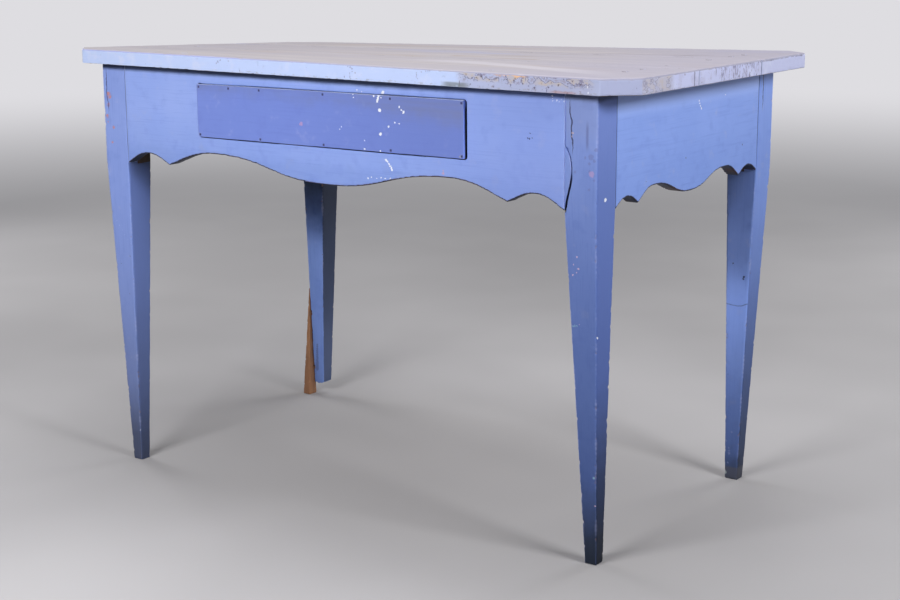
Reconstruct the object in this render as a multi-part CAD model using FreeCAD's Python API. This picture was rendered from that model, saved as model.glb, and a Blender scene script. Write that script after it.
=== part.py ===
"""Kitchen table with one drawer: a boarded top on a pegged frame with scalloped aprons.

Millimetres. +X runs along the table to the right as seen from the drawer's side, +Y runs to
the back and +Z up. The origin is on the floor under the middle of the top.
"""
import FreeCAD, Part
import math
import os
from FreeCAD import Vector

os.makedirs("parts", exist_ok=True)

# ---------------------------------------------------------------- driving dimensions

# Top
table_height = 760.0
top_length = 1142.0
top_width = 650.0
top_thickness = 25.5
front_board_width = 218.0
rear_board_width = 213.0
open_seam = 1.2             # gap between the middle and rear boards
corner_clip = 44.0          # each corner of the top is cut off at 45 degrees
top_arris = 1.5             # worn chamfer round the upper edge
corner_sag = 27.0           # the top's back left corner has sunk this far with its broken leg
fitting_waste = 3.0         # extra height on what is then trimmed to the top's underside

# Frame
end_overhang = 63.0         # the top past the frame at its ends
side_overhang = 28.0        # the top past the frame at front and back
leg_size = 56.0             # square section beside the aprons
front_foot_size = 21.5      # square section on the floor
back_foot_size = 24.5
leg_arris = 1.5
apron_thickness = 23.0
apron_depth = 175.0         # height of an apron where it meets a leg

# Each foot's lean away from the point straight under its leg, along X and along Y
front_left_lean = (0.0, 0.0)
front_right_lean = (3.0, 24.0)
back_right_lean = (-1.5, -13.0)
back_left_lean = (-4.5, 0.0)

# Scallops: depths are measured down from the top's underside
arch_fullness = 0.45        # share of a flank's run over which its crown stays level
cusp_reach = 0.3            # a flank's straight end, as a share of its run
cusp_rise = 0.4             # and of its drop
long_end_arch_width = 100.0
long_flank_width = 107.0
long_arch_depth = 143.5
long_belly_depth = 175.5
long_cusp_depth = 171.0
long_end_arch_depth = 154.0
short_end_arch_width = 69.0
short_flank_width = 50.0
short_arch_depth = 153.5
short_belly_depth = 178.0
short_cusp_depth = 175.0
short_end_arch_depth = 161.0

# Mortise and tenon joints
tenon_thickness = 8.0
tenon_top_shoulder = 22.0
tenon_bottom_shoulder = 35.0
tenon_end_gap = 6.5         # wood between the two tenons that meet inside a leg
joint_clearance = 0.2
peg_size = 8.0              # across the flats
peg_arris_share = 0.25      # of a peg's size, off each of its arrises
peg_cover = 4.0             # the leg's face past the peg's blind end
peg_clearance = 0.05
long_peg_depths = (46.0, 112.0)
short_peg_depths = (62.0, 128.0)

# Split beside the front apron, on the front right leg: depths below the top's underside
split_top = 77.0
split_middle = 122.0
split_low = 150.0
split_width = 11.5
split_end_width = 1.0
split_opening = 2.4         # width of the crack at its lower end
split_growth = (0.1, 0.5, 0.8)      # share of that width at the crack's top, middle and low points

# Broken back left leg and its splint
broken_leg_gap = 25.0       # from the floor to the leg's ragged end
ragged_depth = 5.0
ragged_profile = (-0.6, 0.2, -0.3, -1.0, -0.2, -0.5, 0.5, 1.0)      # shares of half that depth
splint_height = 228.0
splint_width = 24.0
splint_tip_width = 15.0
splint_foot_thickness = 18.0
splint_tip_thickness = 2.5
splint_proud = 18.0         # the splint's front face in front of the leg's, at the floor
splint_nail_heights = (60.0, 120.0, 180.0)
splint_nail_line = 2.0      # from the leg's front face, at the floor, to the nails

# Drawer
drawer_width = 551.0
drawer_front_height = 89.0
drawer_shift = 0.2          # the drawer's middle to the right of the frame's
drawer_drop = 68.6          # from the top's underside to the drawer front's middle
drawer_tilt = 0.4           # degrees, right end up
drawer_back_space = 51.0    # between the closed drawer and the back apron
drawer_front_thickness = 18.0
drawer_side_thickness = 12.0
drawer_side_height = 82.0
drawer_back_thickness = 12.0
drawer_bottom_thickness = 7.0
bottom_groove_depth = 5.0
bottom_groove_rise = 9.0    # from the side's lower edge up to the groove
bottom_seam_gap = 0.6
facing_thickness = 4.5
opening_gap_left = 0.8
opening_gap_right = 2.0
opening_gap_top = 0.7
opening_gap_bottom = 1.2

# Dovetails
tail_count = 3
tail_slope = 1.0 / 6.0
lap_thickness = 8.0         # the drawer front's wood left in front of its dovetails
dovetail_fit = 0.05

# Runners, guides, kickers and stops
runner_height = 20.0
runner_width = 40.0
runner_housing = 7.0        # how far the runners and kickers are let into the aprons
guide_width = 16.0
guide_height = 22.0
kicker_width = 26.0
kicker_tongue_height = 18.0
drawer_clearance = 0.4      # between the drawer and what it slides on
guide_clearance = 1.0
kicker_clearance = 1.0
stop_length = 22.0
stop_height = 20.0

# Fasteners
top_nail_shank = 3.0
top_nail_head = 7.0
top_nail_head_thickness = 1.2
top_nail_length = 60.0
top_nail_inset = 40.0       # from a board's edge or an apron's end to its nearest nails
nail_set_room = 1.0         # open room over a nail head that is set into the sunk top
facing_nail_shank = 1.6
facing_nail_head = 3.6
facing_nail_head_thickness = 0.8
facing_nail_length = 12.0
facing_nail_edge = 4.0
facing_nail_count = 5
bottom_nail_shank = 2.0
bottom_nail_length = 22.0
bottom_nail_count = 4
bottom_nail_inset = 36.0    # from the drawer's side to its nearest bottom nail
splint_nail_shank = 2.4
splint_nail_length = 26.0
splint_nail_head = 5.0
splint_nail_head_thickness = 1.0
nail_clearance = 0.05

# Glue blocks
block_size = 28.0
block_length = 60.0

# ---------------------------------------------------------------- worked-out places

frame_top = table_height - top_thickness
frame_length = top_length - 2 * end_overhang
frame_width = top_width - 2 * side_overhang
shoulder_height = frame_top - apron_depth
long_span = frame_length - 2 * leg_size
short_span = frame_width - 2 * leg_size
front_face = -frame_width / 2
tenon_setback = (apron_thickness - tenon_thickness) / 2
tenon_length = leg_size - tenon_setback - tenon_thickness - tenon_end_gap
tenon_high = frame_top - tenon_top_shoulder
tenon_low = frame_top - apron_depth + tenon_bottom_shoulder

drawer_middle = Vector(drawer_shift, 0, frame_top - drawer_drop)
drawer_left = drawer_shift - drawer_width / 2
drawer_right = drawer_shift + drawer_width / 2
drawer_low = drawer_middle.z - drawer_front_height / 2
drawer_high = drawer_middle.z + drawer_front_height / 2
drawer_front_back = front_face + drawer_front_thickness
inner_front = front_face + apron_thickness
inner_back = frame_width / 2 - apron_thickness
drawer_rear = inner_back - drawer_back_space
side_high = drawer_low + drawer_side_height
bottom_low = drawer_low + bottom_groove_rise
bottom_high = bottom_low + drawer_bottom_thickness


# ---------------------------------------------------------------- helpers

def block(x0, x1, y0, y1, z0, z1):
    """A box between two corners, given in any order."""
    corner = Vector(min(x0, x1), min(y0, y1), min(z0, z1))
    return Part.makeBox(abs(x1 - x0), abs(y1 - y0), abs(z1 - z0), corner)


def plate(points, direction):
    """A flat outline of straight edges, pushed along a direction."""
    outline = Part.makePolygon(points + points[:1])
    return Part.Face(outline).extrude(direction)


def tilted(shape):
    """Turns a level shape to the drawer's slight tilt."""
    turned = shape.copy()
    turned.rotate(drawer_middle, Vector(0, 1, 0), -drawer_tilt)
    return turned


def square_bar(point, direction, size, length):
    """A square bar centred on the line from a point along one of the main axes."""
    turned = Vector(direction.y, direction.z, direction.x)
    reach = direction.cross(turned) + turned
    low = point - reach * (size / 2)
    high = point + reach * (size / 2) + direction * length
    return block(low.x, high.x, low.y, high.y, low.z, high.z)


def nail(point, direction, length, shank, head, head_thickness):
    """A cut nail, square in section. Its head's outer face lies on the point."""
    stem = square_bar(point, direction, shank, length)
    cap = square_bar(point, direction, head, head_thickness)
    return stem.fuse(cap).removeSplitter()


def nail_hole(point, direction, length, shank, head, head_thickness):
    """The room that a nail takes, with its clearance."""
    grown_shank = shank + 2 * nail_clearance
    grown_head = head + 2 * nail_clearance
    grown_length = length + nail_clearance
    return nail(point, direction, grown_length, grown_shank, grown_head, head_thickness)


def spread(low, high, count):
    """Evenly spaced values from low to high, both included."""
    step = (high - low) / (count - 1)
    return [low + step * index for index in range(count)]


def export(shape, node):
    shape.exportStep("parts/" + node + ".step")


# ---------------------------------------------------------------- sunk corner

def sunk(x, y):
    """How far the top has gone down at a point of its plan, most at the back left corner."""
    return corner_sag * (0.5 - x / top_length) * (0.5 + y / top_width)


def sunk_point(x, y, level):
    """A point over the plan at a level that follows the sunk top."""
    return Vector(x, y, level - sunk(x, y))


def sunk_slab(low, high):
    """A slab between two levels over the whole plan, twisted as the top is."""
    half = top_width / 2
    ends = []
    for x in (-top_length / 2, top_length / 2):
        rim = [(-half, low), (half, low), (half, high), (-half, high)]
        points = [sunk_point(x, y, level) for y, level in rim]
        ends.append(Part.makePolygon(points + points[:1]))
    return Part.makeLoft(ends, True, True)


over_frame = sunk_slab(frame_top, table_height + top_thickness)
leg_sink = sunk((leg_size - frame_length) / 2, (frame_width - leg_size) / 2)


def corner_sink(side_x, side_y):
    """How far the frame has gone down at one corner: only the back left leg has sunk."""
    return leg_sink if (side_x, side_y) == (-1, 1) else 0


# ---------------------------------------------------------------- frame joints

def corner_block(side_x, side_y, inward_x, inward_y, z0, z1):
    """A box placed by its distances inward from the frame's outer faces at one corner."""
    x0, x1 = [side_x * (frame_length / 2 - inward) for inward in inward_x]
    y0, y1 = [side_y * (frame_width / 2 - inward) for inward in inward_y]
    return block(x0, x1, y0, y1, z0, z1)


def mortises(side_x, side_y):
    """The two slots in a leg that take the tenons of its aprons."""
    across = (tenon_setback - joint_clearance, tenon_setback + tenon_thickness + joint_clearance)
    along = (leg_size - tenon_length - joint_clearance, leg_size)
    sink = corner_sink(side_x, side_y)
    z0 = tenon_low - sink - joint_clearance
    z1 = tenon_high - sink + joint_clearance
    long_slot = corner_block(side_x, side_y, along, across, z0, z1)
    short_slot = corner_block(side_x, side_y, across, along, z0, z1)
    return [long_slot, short_slot]


def peg(start, direction, size, length):
    """A riven peg: a square bar with its arrises split off, which leaves eight sides."""
    bar = square_bar(start, direction, size, length)
    arrises = [edge for edge in bar.Edges if abs(edge.Length - length) < size / 2]
    return bar.makeChamfer(size * peg_arris_share, arrises)


def corner_pegs(side_x, side_y, grown):
    """The pegs of one leg, driven from its inner faces through both tenons."""
    size = peg_size + 2 * grown
    length = leg_size - peg_cover
    middle = leg_size - tenon_length / 2
    top = frame_top - corner_sink(side_x, side_y)
    pegs = []
    for depth in long_peg_depths:
        x = side_x * (frame_length / 2 - middle)
        y = side_y * (frame_width / 2 - leg_size)
        start = Vector(x, y, top - depth)
        pegs.append(peg(start, Vector(0, side_y, 0), size, length))
    for depth in short_peg_depths:
        x = side_x * (frame_length / 2 - leg_size)
        y = side_y * (frame_width / 2 - middle)
        start = Vector(x, y, top - depth)
        pegs.append(peg(start, Vector(side_x, 0, 0), size, length))
    return pegs


corners = [(-1, -1), (1, -1), (-1, 1), (1, 1)]
pegs = []
peg_holes = []
for side_x, side_y in corners:
    pegs += corner_pegs(side_x, side_y, 0)
    peg_holes += corner_pegs(side_x, side_y, peg_clearance)


# ---------------------------------------------------------------- legs

def leg_section(middle_x, middle_y, z, size):
    """A level square about a middle point, with its worn arrises cut off."""
    half = size / 2
    short = half - leg_arris
    turns = [
        (-short, -half), (short, -half), (half, -short), (half, short),
        (short, half), (-short, half), (-half, short), (-half, -short),
    ]
    points = [Vector(middle_x + u, middle_y + v, z) for u, v in turns]
    return Part.makePolygon(points + points[:1])


def leg_blank(side_x, side_y, foot_size, lean):
    """A leg: square beside the aprons, then tapered on all four faces to its foot."""
    middle_x = side_x * (frame_length - leg_size) / 2
    middle_y = side_y * (frame_width - leg_size) / 2
    turn_height = shoulder_height - corner_sink(side_x, side_y)
    shoulder = leg_section(middle_x, middle_y, turn_height, leg_size)
    foot = leg_section(middle_x + lean[0], middle_y + lean[1], 0, foot_size)
    head = Part.Face(shoulder).extrude(Vector(0, 0, apron_depth + fitting_waste))
    taper = Part.makeLoft([foot, shoulder], True, True)
    return head.fuse(taper).removeSplitter().cut(over_frame)


def jointed_leg(side_x, side_y, foot_size, lean):
    """A leg with its mortises and peg holes cut."""
    leg = leg_blank(side_x, side_y, foot_size, lean)
    leg = leg.cut(mortises(side_x, side_y))
    return leg.cut(corner_pegs(side_x, side_y, peg_clearance))


# ---------------------------------------------------------------- split in the front right leg

def split_outline(opening):
    """The face of the split-off sliver, grown towards its open lower end."""
    edge_x = frame_length / 2 - leg_size
    path = [(0, split_top), (split_width, split_middle), (split_width / 2, split_low)]
    points = []
    for (width, depth), share in zip(path, split_growth):
        points.append(Vector(edge_x + width + opening * share, front_face, frame_top - depth))
    points.append(Vector(edge_x + split_end_width + opening, front_face, shoulder_height))
    crack = Part.BSplineCurve()
    crack.interpolate(points)
    corner_high = Vector(edge_x, front_face, frame_top - split_top)
    corner_low = Vector(edge_x, front_face, shoulder_height)
    rest = Part.makePolygon([points[-1], corner_low, corner_high, points[0]])
    return Part.Face(Part.Wire([crack.toShape()] + rest.Edges))


def split_wood(opening):
    """The wood inside the split, as thick as the cheek in front of the tenon."""
    cheek = tenon_setback - joint_clearance
    return split_outline(opening).extrude(Vector(0, cheek, 0))


sound_leg = jointed_leg(1, -1, front_foot_size, front_right_lean)
front_right_leg = sound_leg.cut(split_wood(split_opening))
front_right_leg_splinter = sound_leg.common(split_wood(0))
front_left_leg = jointed_leg(-1, -1, front_foot_size, front_left_lean)
back_right_leg = jointed_leg(1, 1, back_foot_size, back_right_lean)


# ---------------------------------------------------------------- broken leg and its splint

broken_turn_height = shoulder_height - leg_sink


def taper_share(z):
    """How far down the broken leg's taper a height is: 0 at its square head, 1 on the floor."""
    return 1 - z / broken_turn_height


def tapered_inset(z):
    """How far the broken leg's faces have come in at a height, from its square head."""
    return (leg_size - back_foot_size) / 2 * taper_share(z)


def leg_outer_x(z):
    """Where the back left leg's outer face is at a height."""
    return -frame_length / 2 + tapered_inset(z) + back_left_lean[0] * taper_share(z)


def leg_front_y(z):
    """Where the back left leg's front face is at a height."""
    return frame_width / 2 - leg_size + tapered_inset(z) + back_left_lean[1] * taper_share(z)


def ragged_cutter():
    """What is missing under the break: a zigzag, pushed through the leg."""
    clear = broken_leg_gap + ragged_depth
    x0 = leg_outer_x(clear)
    xs = spread(x0, x0 + leg_size - 2 * tapered_inset(clear), len(ragged_profile))
    y = frame_width / 2 - leg_size
    saw = [Vector(x, y, broken_leg_gap + ragged_depth / 2 * share) for x, share in zip(xs, ragged_profile)]
    floor = [Vector(xs[-1], y, 0), Vector(xs[0], y, 0)]
    return plate(saw + floor, Vector(0, leg_size, 0))


def rectangle(x0, x1, y0, y1, z):
    """A level rectangular outline."""
    points = [Vector(x0, y0, z), Vector(x1, y0, z), Vector(x1, y1, z), Vector(x0, y1, z)]
    return Part.makePolygon(points + points[:1])


def splint_outer_x(z):
    """Where the splint's outer face is at a height."""
    share = z / splint_height
    thickness = splint_foot_thickness + (splint_tip_thickness - splint_foot_thickness) * share
    return leg_outer_x(z) - thickness


def splint_blank():
    """A wedge whose inner face lies along the leg's outer face."""
    foot_y = leg_front_y(0) - splint_proud
    tip_y = leg_front_y(splint_height) + leg_arris
    foot = rectangle(splint_outer_x(0), leg_outer_x(0), foot_y, foot_y + splint_width, 0)
    tip_outer = splint_outer_x(splint_height)
    tip_inner = leg_outer_x(splint_height)
    tip = rectangle(tip_outer, tip_inner, tip_y, tip_y + splint_tip_width, splint_height)
    return Part.makeLoft([foot, tip], True, True)


splint_nail_y = leg_front_y(0) + splint_nail_line
splint_nails = []
splint_holes = []
for z in splint_nail_heights:
    start = Vector(splint_outer_x(z), splint_nail_y, z)
    sizes = (splint_nail_length, splint_nail_shank, splint_nail_head, splint_nail_head_thickness)
    splint_nails.append(nail(start, Vector(1, 0, 0), *sizes))
    splint_holes.append(nail_hole(start, Vector(1, 0, 0), *sizes))

broken_leg = jointed_leg(-1, 1, back_foot_size, back_left_lean)
back_left_leg = broken_leg.cut(ragged_cutter()).cut(splint_holes)
back_left_leg_splint = splint_blank().cut(splint_holes)


# ---------------------------------------------------------------- aprons

def flank(peak, low):
    """Poles of a curve from the level crown of an arch down to a point, straight at its end."""
    run = low[0] - peak[0]
    drop = low[1] - peak[1]
    crown = (peak[0] + arch_fullness * run, peak[1])
    toe = (low[0] - cusp_reach * run, low[1] - cusp_rise * drop)
    return [peak, crown, toe, low]


def sway(peak, low):
    """Poles of a curve from the level crown of an arch down to a level belly."""
    half = (low[0] - peak[0]) / 2
    return [peak, (peak[0] + half, peak[1]), (low[0] - half, low[1]), low]


def scalloped_edge(half_span, end_arch_width, flank_width, arch, belly, cusp, end_arch):
    """The curves of an apron's lower edge, as poles of (along, depth), to both legs."""
    cusp_at = half_span - end_arch_width
    arch_at = cusp_at - flank_width
    crown_at = half_span - end_arch_width / 2
    curves = []
    for turn in (-1, 1):
        curves.append(flank((turn * crown_at, end_arch), (turn * half_span, apron_depth)))
        curves.append(flank((turn * crown_at, end_arch), (turn * cusp_at, cusp)))
        curves.append(flank((turn * arch_at, arch), (turn * cusp_at, cusp)))
        curves.append(sway((turn * arch_at, arch), (0, belly)))
    return curves


def apron(half, lower, low_end_sink, high_end_sink):
    """A scalloped board with a tenon at each end, its outer face on the plane y = 0.

    The two sinks are how far its ends on the -x and the +x side have gone down.
    """
    def point(along, depth):
        share = (along + half) / (2 * half)
        sink = low_end_sink + (high_end_sink - low_end_sink) * share
        return Vector(along, 0, frame_top - depth - sink)

    edges = []
    for poles in lower:
        bezier = Part.BezierCurve()
        bezier.setPoles([point(along, depth) for along, depth in poles])
        edges.append(bezier.toShape())
    corners = [point(-half, apron_depth), point(-half, -fitting_waste)]
    corners += [point(half, -fitting_waste), point(half, apron_depth)]
    outline = Part.Wire(Part.__sortEdges__(edges + Part.makePolygon(corners).Edges))
    board = Part.Face(outline).extrude(Vector(0, apron_thickness, 0))
    near = tenon_setback
    far = tenon_setback + tenon_thickness
    for turn, sink in ((-1, low_end_sink), (1, high_end_sink)):
        end = turn * (half + tenon_length)
        board = board.fuse(block(turn * half, end, near, far, tenon_low - sink, tenon_high - sink))
    return board.removeSplitter()


def placed(board, turn, x, y):
    """A board turned about the vertical, moved to its side and trimmed under the top."""
    board.rotate(Vector(0, 0, 0), Vector(0, 0, 1), turn)
    board.translate(Vector(x, y, 0))
    return board.cut(peg_holes + [over_frame])


half_long = long_span / 2
half_short = short_span / 2
long_edge = scalloped_edge(
    half_long, long_end_arch_width, long_flank_width,
    long_arch_depth, long_belly_depth, long_cusp_depth, long_end_arch_depth,
)
short_edge = scalloped_edge(
    half_short, short_end_arch_width, short_flank_width,
    short_arch_depth, short_belly_depth, short_cusp_depth, short_end_arch_depth,
)
front_apron = placed(apron(half_long, long_edge, 0, 0), 0, 0, front_face)
back_apron = placed(apron(half_long, long_edge, 0, leg_sink), 180, 0, frame_width / 2)
right_apron = placed(apron(half_short, short_edge, 0, 0), 90, frame_length / 2, 0)
left_apron = placed(apron(half_short, short_edge, leg_sink, 0), -90, -frame_length / 2, 0)

opening = tilted(block(
    drawer_left - opening_gap_left, drawer_right + opening_gap_right,
    front_face - apron_thickness, front_face + 2 * apron_thickness,
    drawer_low - opening_gap_bottom, drawer_high + opening_gap_top,
))
front_apron = front_apron.cut(opening)


# ---------------------------------------------------------------- runners, guides and kickers

runner_high = drawer_low - drawer_clearance


def side_outer_x(turn):
    """The outer face of one drawer side: -1 is the left one and 1 the right one."""
    return drawer_shift + turn * drawer_width / 2


def runner(turn, grown):
    """The bar that one drawer side slides on, let into both aprons."""
    x0 = side_outer_x(turn) - turn * (drawer_side_thickness + grown)
    x1 = x0 + turn * (runner_width + 2 * grown)
    y0 = inner_front - runner_housing - grown
    y1 = inner_back + runner_housing + grown
    return tilted(block(x0, x1, y0, y1, runner_high - runner_height - grown, runner_high + grown))


def guide(turn):
    """The strip on a runner that keeps the drawer straight."""
    x0 = side_outer_x(turn) + turn * guide_clearance
    x1 = x0 + turn * guide_width
    return tilted(block(x0, x1, inner_front, inner_back, runner_high, runner_high + guide_height))


def kicker_span(turn, grown):
    """The two edges of a kicker, over the middle of its drawer side."""
    middle = side_outer_x(turn) - turn * drawer_side_thickness / 2
    half = kicker_width / 2 + grown
    return middle - half, middle + half


def kicker(turn, grown):
    """The bar over a drawer side, close against the top and level with the drawer's tilt.

    Its back end is let into the back apron, and a shallower tongue into the front one.
    """
    x0, x1 = kicker_span(turn, grown)
    y0 = inner_front - runner_housing - grown
    y1 = inner_back + runner_housing + grown
    low = side_high + kicker_clearance - grown
    bar = tilted(block(x0 - top_thickness, x1 + top_thickness, inner_front, y1, low, table_height))
    bar = bar.common(block(x0, x1, inner_front, y1, 0, frame_top))
    tongue_low = frame_top - kicker_tongue_height - grown
    tongue = block(x0, x1, y0, inner_front, tongue_low, frame_top)
    return bar.fuse(tongue).cut(over_frame).removeSplitter()


def stop(turn):
    """The block on a runner that the closed drawer meets."""
    x0 = side_outer_x(turn)
    x1 = x0 - turn * drawer_side_thickness
    y0 = drawer_rear + drawer_clearance
    return tilted(block(x0, x1, y0, y0 + stop_length, runner_high, runner_high + stop_height))


housings = []
for turn in (-1, 1):
    housings.append(runner(turn, joint_clearance))
    housings.append(kicker(turn, joint_clearance))
front_apron = front_apron.cut(housings)
back_apron = back_apron.cut(housings)


# ---------------------------------------------------------------- glue blocks

def glue_block(x, y, turn):
    """A rubbed block in the angle between an apron and the top, its free edge planed off."""
    half = block_length / 2
    chamfer = block_size / 2
    profile = [(0, 0), (block_size, 0), (block_size, -chamfer), (chamfer, -block_size), (0, -block_size)]
    points = [Vector(-half, across, frame_top + down) for across, down in profile]
    piece = plate(points, Vector(block_length, 0, 0))
    piece.rotate(Vector(0, 0, 0), Vector(0, 0, 1), turn)
    piece.translate(Vector(x, y, 0))
    box = piece.BoundBox
    piece.translate(Vector(0, 0, -sunk(box.XMax, box.YMin)))
    return piece.cut(over_frame)


def glue_blocks():
    """Blocks along all four aprons, clear of the legs and the kickers."""
    end_x = frame_length / 2 - apron_thickness
    beside = (drawer_right + half_long) / 2
    blocks = []
    for x in (-beside, beside):
        blocks.append(glue_block(x, inner_front, 0))
        blocks.append(glue_block(x, inner_back, 180))
    blocks.append(glue_block(0, inner_back, 180))
    for y in (-half_short / 2, half_short / 2):
        blocks.append(glue_block(-end_x, y, -90))
        blocks.append(glue_block(end_x, y, 90))
    return blocks


# ---------------------------------------------------------------- top

front_seam = -top_width / 2 + front_board_width
rear_seam = top_width / 2 - rear_board_width


def top_plan():
    """The corners of the top's plan, with all four of its own corners cut off."""
    long_x = top_length / 2
    short_x = long_x - corner_clip
    long_y = top_width / 2
    short_y = long_y - corner_clip
    return [
        (-short_x, -long_y), (short_x, -long_y), (long_x, -short_y), (long_x, short_y),
        (short_x, long_y), (-short_x, long_y), (-long_x, short_y), (-long_x, -short_y),
    ]


def arris_cutter(start, end):
    """What the worn chamfer takes off along one upper edge, run on past both its ends."""
    spare = 2 * top_arris
    along = Vector(end.x - start.x, end.y - start.y, 0).normalize()
    outward = Vector(along.y, -along.x, 0)
    run_on = (end - start).normalize() * spare
    section = [(-top_arris - spare, spare), (spare, -top_arris - spare), (spare, spare)]
    points = [start - run_on + outward * out + Vector(0, 0, up) for out, up in section]
    return plate(points, end - start + run_on * 2)


def whole_top():
    """The top in one piece, with its worn upper arris."""
    rim = [sunk_point(x, y, table_height) for x, y in top_plan()]
    plan = plate([Vector(point.x, point.y, 0) for point in rim], Vector(0, 0, 2 * table_height))
    slab = sunk_slab(frame_top, table_height).common(plan)
    return slab.cut([arris_cutter(start, end) for start, end in zip(rim, rim[1:] + rim[:1])])


def top_board(y0, y1):
    """The part of the top between two seams."""
    return whole_top().common(block(-top_length, top_length, y0, y1, 0, table_height))


board_edges = [
    (-top_width / 2, front_seam),
    (front_seam, rear_seam - open_seam),
    (rear_seam, top_width / 2),
]

top_nail_points = []
end_apron_x = (frame_length - apron_thickness) / 2
for low, high in board_edges:
    first = max(low, -half_short) + top_nail_inset
    last = min(high, half_short) - top_nail_inset
    for x in (-end_apron_x, end_apron_x):
        top_nail_points += [(x, first), (x, last)]
long_apron_y = (frame_width - apron_thickness) / 2
beside_drawer = drawer_right + top_nail_inset
for x in (-beside_drawer, beside_drawer):
    top_nail_points += [(x, -long_apron_y), (x, long_apron_y)]
top_nail_points.append((0, long_apron_y))

top_nails = []
top_holes = []
for x, y in top_nail_points:
    start = sunk_point(x - top_nail_head / 2, y + top_nail_head / 2, table_height)
    start += Vector(top_nail_head / 2, -top_nail_head / 2, 0)
    down = Vector(0, 0, -1)
    top_nails.append(nail(
        start, down, top_nail_length, top_nail_shank, top_nail_head, top_nail_head_thickness,
    ))
    top_holes.append(nail_hole(
        start - down * nail_set_room, down, top_nail_length + nail_set_room,
        top_nail_shank, top_nail_head, top_nail_head_thickness + nail_set_room,
    ))

top_boards = [top_board(low, high).cut(top_holes) for low, high in board_edges]
front_apron = front_apron.cut(top_holes)
back_apron = back_apron.cut(top_holes)
left_apron = left_apron.cut(top_holes)
right_apron = right_apron.cut(top_holes)


# ---------------------------------------------------------------- drawer

def tails(turn, root_y, tip_y, low, high, grown):
    """The dovetails on one end of a drawer side, wider at the tip than at the root."""
    x0 = side_outer_x(turn)
    x1 = x0 - turn * (drawer_side_thickness + grown)
    pitch = (high - low) / tail_count
    root_half = pitch / 4 + grown
    flare = abs(tip_y - root_y) * tail_slope
    tip = tip_y + math.copysign(grown, tip_y - root_y)
    shapes = []
    for index in range(tail_count):
        z = low + pitch * (index + 0.5)
        points = [
            Vector(x0, root_y, z - root_half), Vector(x0, tip, z - root_half - flare),
            Vector(x0, tip, z + root_half + flare), Vector(x0, root_y, z + root_half),
        ]
        shapes.append(plate(points, Vector(x1 - x0, 0, 0)))
    return shapes


def front_tails(turn, grown):
    return tails(turn, drawer_front_back, front_face + lap_thickness, drawer_low, side_high, grown)


def rear_tails(turn, grown):
    root = drawer_rear - drawer_back_thickness
    return tails(turn, root, drawer_rear, bottom_high, side_high, grown)


def drawer_side(turn):
    """A side board with dovetails at both ends and the bottom's groove."""
    outer = side_outer_x(turn)
    inner = outer - turn * drawer_side_thickness
    shoulder = drawer_rear - drawer_back_thickness
    board = block(outer, inner, drawer_front_back, shoulder, drawer_low, side_high)
    heel = block(outer, inner, shoulder, drawer_rear, drawer_low, bottom_high)
    board = board.fuse([heel] + front_tails(turn, 0) + rear_tails(turn, 0)).removeSplitter()
    groove_floor = inner + turn * bottom_groove_depth
    groove = block(
        groove_floor, inner, drawer_front_back, drawer_rear,
        bottom_low - joint_clearance, bottom_high,
    )
    return board.cut(groove)


def drawer_bottom():
    """The bottom in one piece: a plate in the side grooves with a tongue into the front."""
    edge = drawer_side_thickness - bottom_groove_depth + joint_clearance
    tongue_y = drawer_front_back - bottom_groove_depth + joint_clearance
    plate_part = block(
        drawer_left + edge, drawer_right - edge, drawer_front_back, drawer_rear,
        bottom_low, bottom_high,
    )
    tongue = block(
        drawer_left + drawer_side_thickness + joint_clearance,
        drawer_right - drawer_side_thickness - joint_clearance,
        tongue_y, drawer_front_back, bottom_low, bottom_high,
    )
    return plate_part.fuse(tongue).removeSplitter()


bottom_nails = []
bottom_holes = []
for x in spread(drawer_left + bottom_nail_inset, drawer_right - bottom_nail_inset, bottom_nail_count):
    start = Vector(x, drawer_rear - drawer_back_thickness / 2, bottom_low)
    sizes = (bottom_nail_length, bottom_nail_shank, facing_nail_head, facing_nail_head_thickness)
    bottom_nails.append(nail(start, Vector(0, 0, 1), *sizes))
    bottom_holes.append(nail_hole(start, Vector(0, 0, 1), *sizes))

facing_nail_points = []
nail_xs = spread(drawer_left + facing_nail_edge, drawer_right - facing_nail_edge, facing_nail_count)
for x in nail_xs:
    facing_nail_points += [(x, drawer_low + facing_nail_edge), (x, drawer_high - facing_nail_edge)]
facing_nail_points.append(((nail_xs[0] + nail_xs[1]) / 2, drawer_high - facing_nail_edge))
facing_nails = []
facing_holes = []
for x, z in facing_nail_points:
    start = Vector(x, front_face - facing_thickness, z)
    sizes = (facing_nail_length, facing_nail_shank, facing_nail_head, facing_nail_head_thickness)
    facing_nails.append(nail(start, Vector(0, 1, 0), *sizes))
    facing_holes.append(nail_hole(start, Vector(0, 1, 0), *sizes))

front_board = block(drawer_left, drawer_right, front_face, drawer_front_back, drawer_low, drawer_high)
front_groove = block(
    drawer_left + drawer_side_thickness, drawer_right - drawer_side_thickness,
    drawer_front_back - bottom_groove_depth, drawer_front_back,
    bottom_low - joint_clearance, bottom_high + joint_clearance,
)
sockets = front_tails(-1, dovetail_fit) + front_tails(1, dovetail_fit)
drawer_front = front_board.cut([front_groove] + sockets).cut(facing_holes)

facing_board = block(
    drawer_left, drawer_right, front_face - facing_thickness, front_face,
    drawer_low, drawer_high,
)
drawer_facing = facing_board.cut(facing_holes)

back_board = block(
    drawer_left, drawer_right, drawer_rear - drawer_back_thickness, drawer_rear,
    bottom_high, side_high,
)
drawer_back = back_board.cut(rear_tails(-1, dovetail_fit) + rear_tails(1, dovetail_fit))
drawer_back = drawer_back.cut(bottom_holes)

bottom_seam = (drawer_front_back + drawer_rear) / 2
bottom_plate = drawer_bottom().cut(bottom_holes)
ahead = block(-top_length, top_length, -top_width, bottom_seam, 0, table_height)
behind = block(-top_length, top_length, bottom_seam + bottom_seam_gap, top_width, 0, table_height)


# ---------------------------------------------------------------- export

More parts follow.
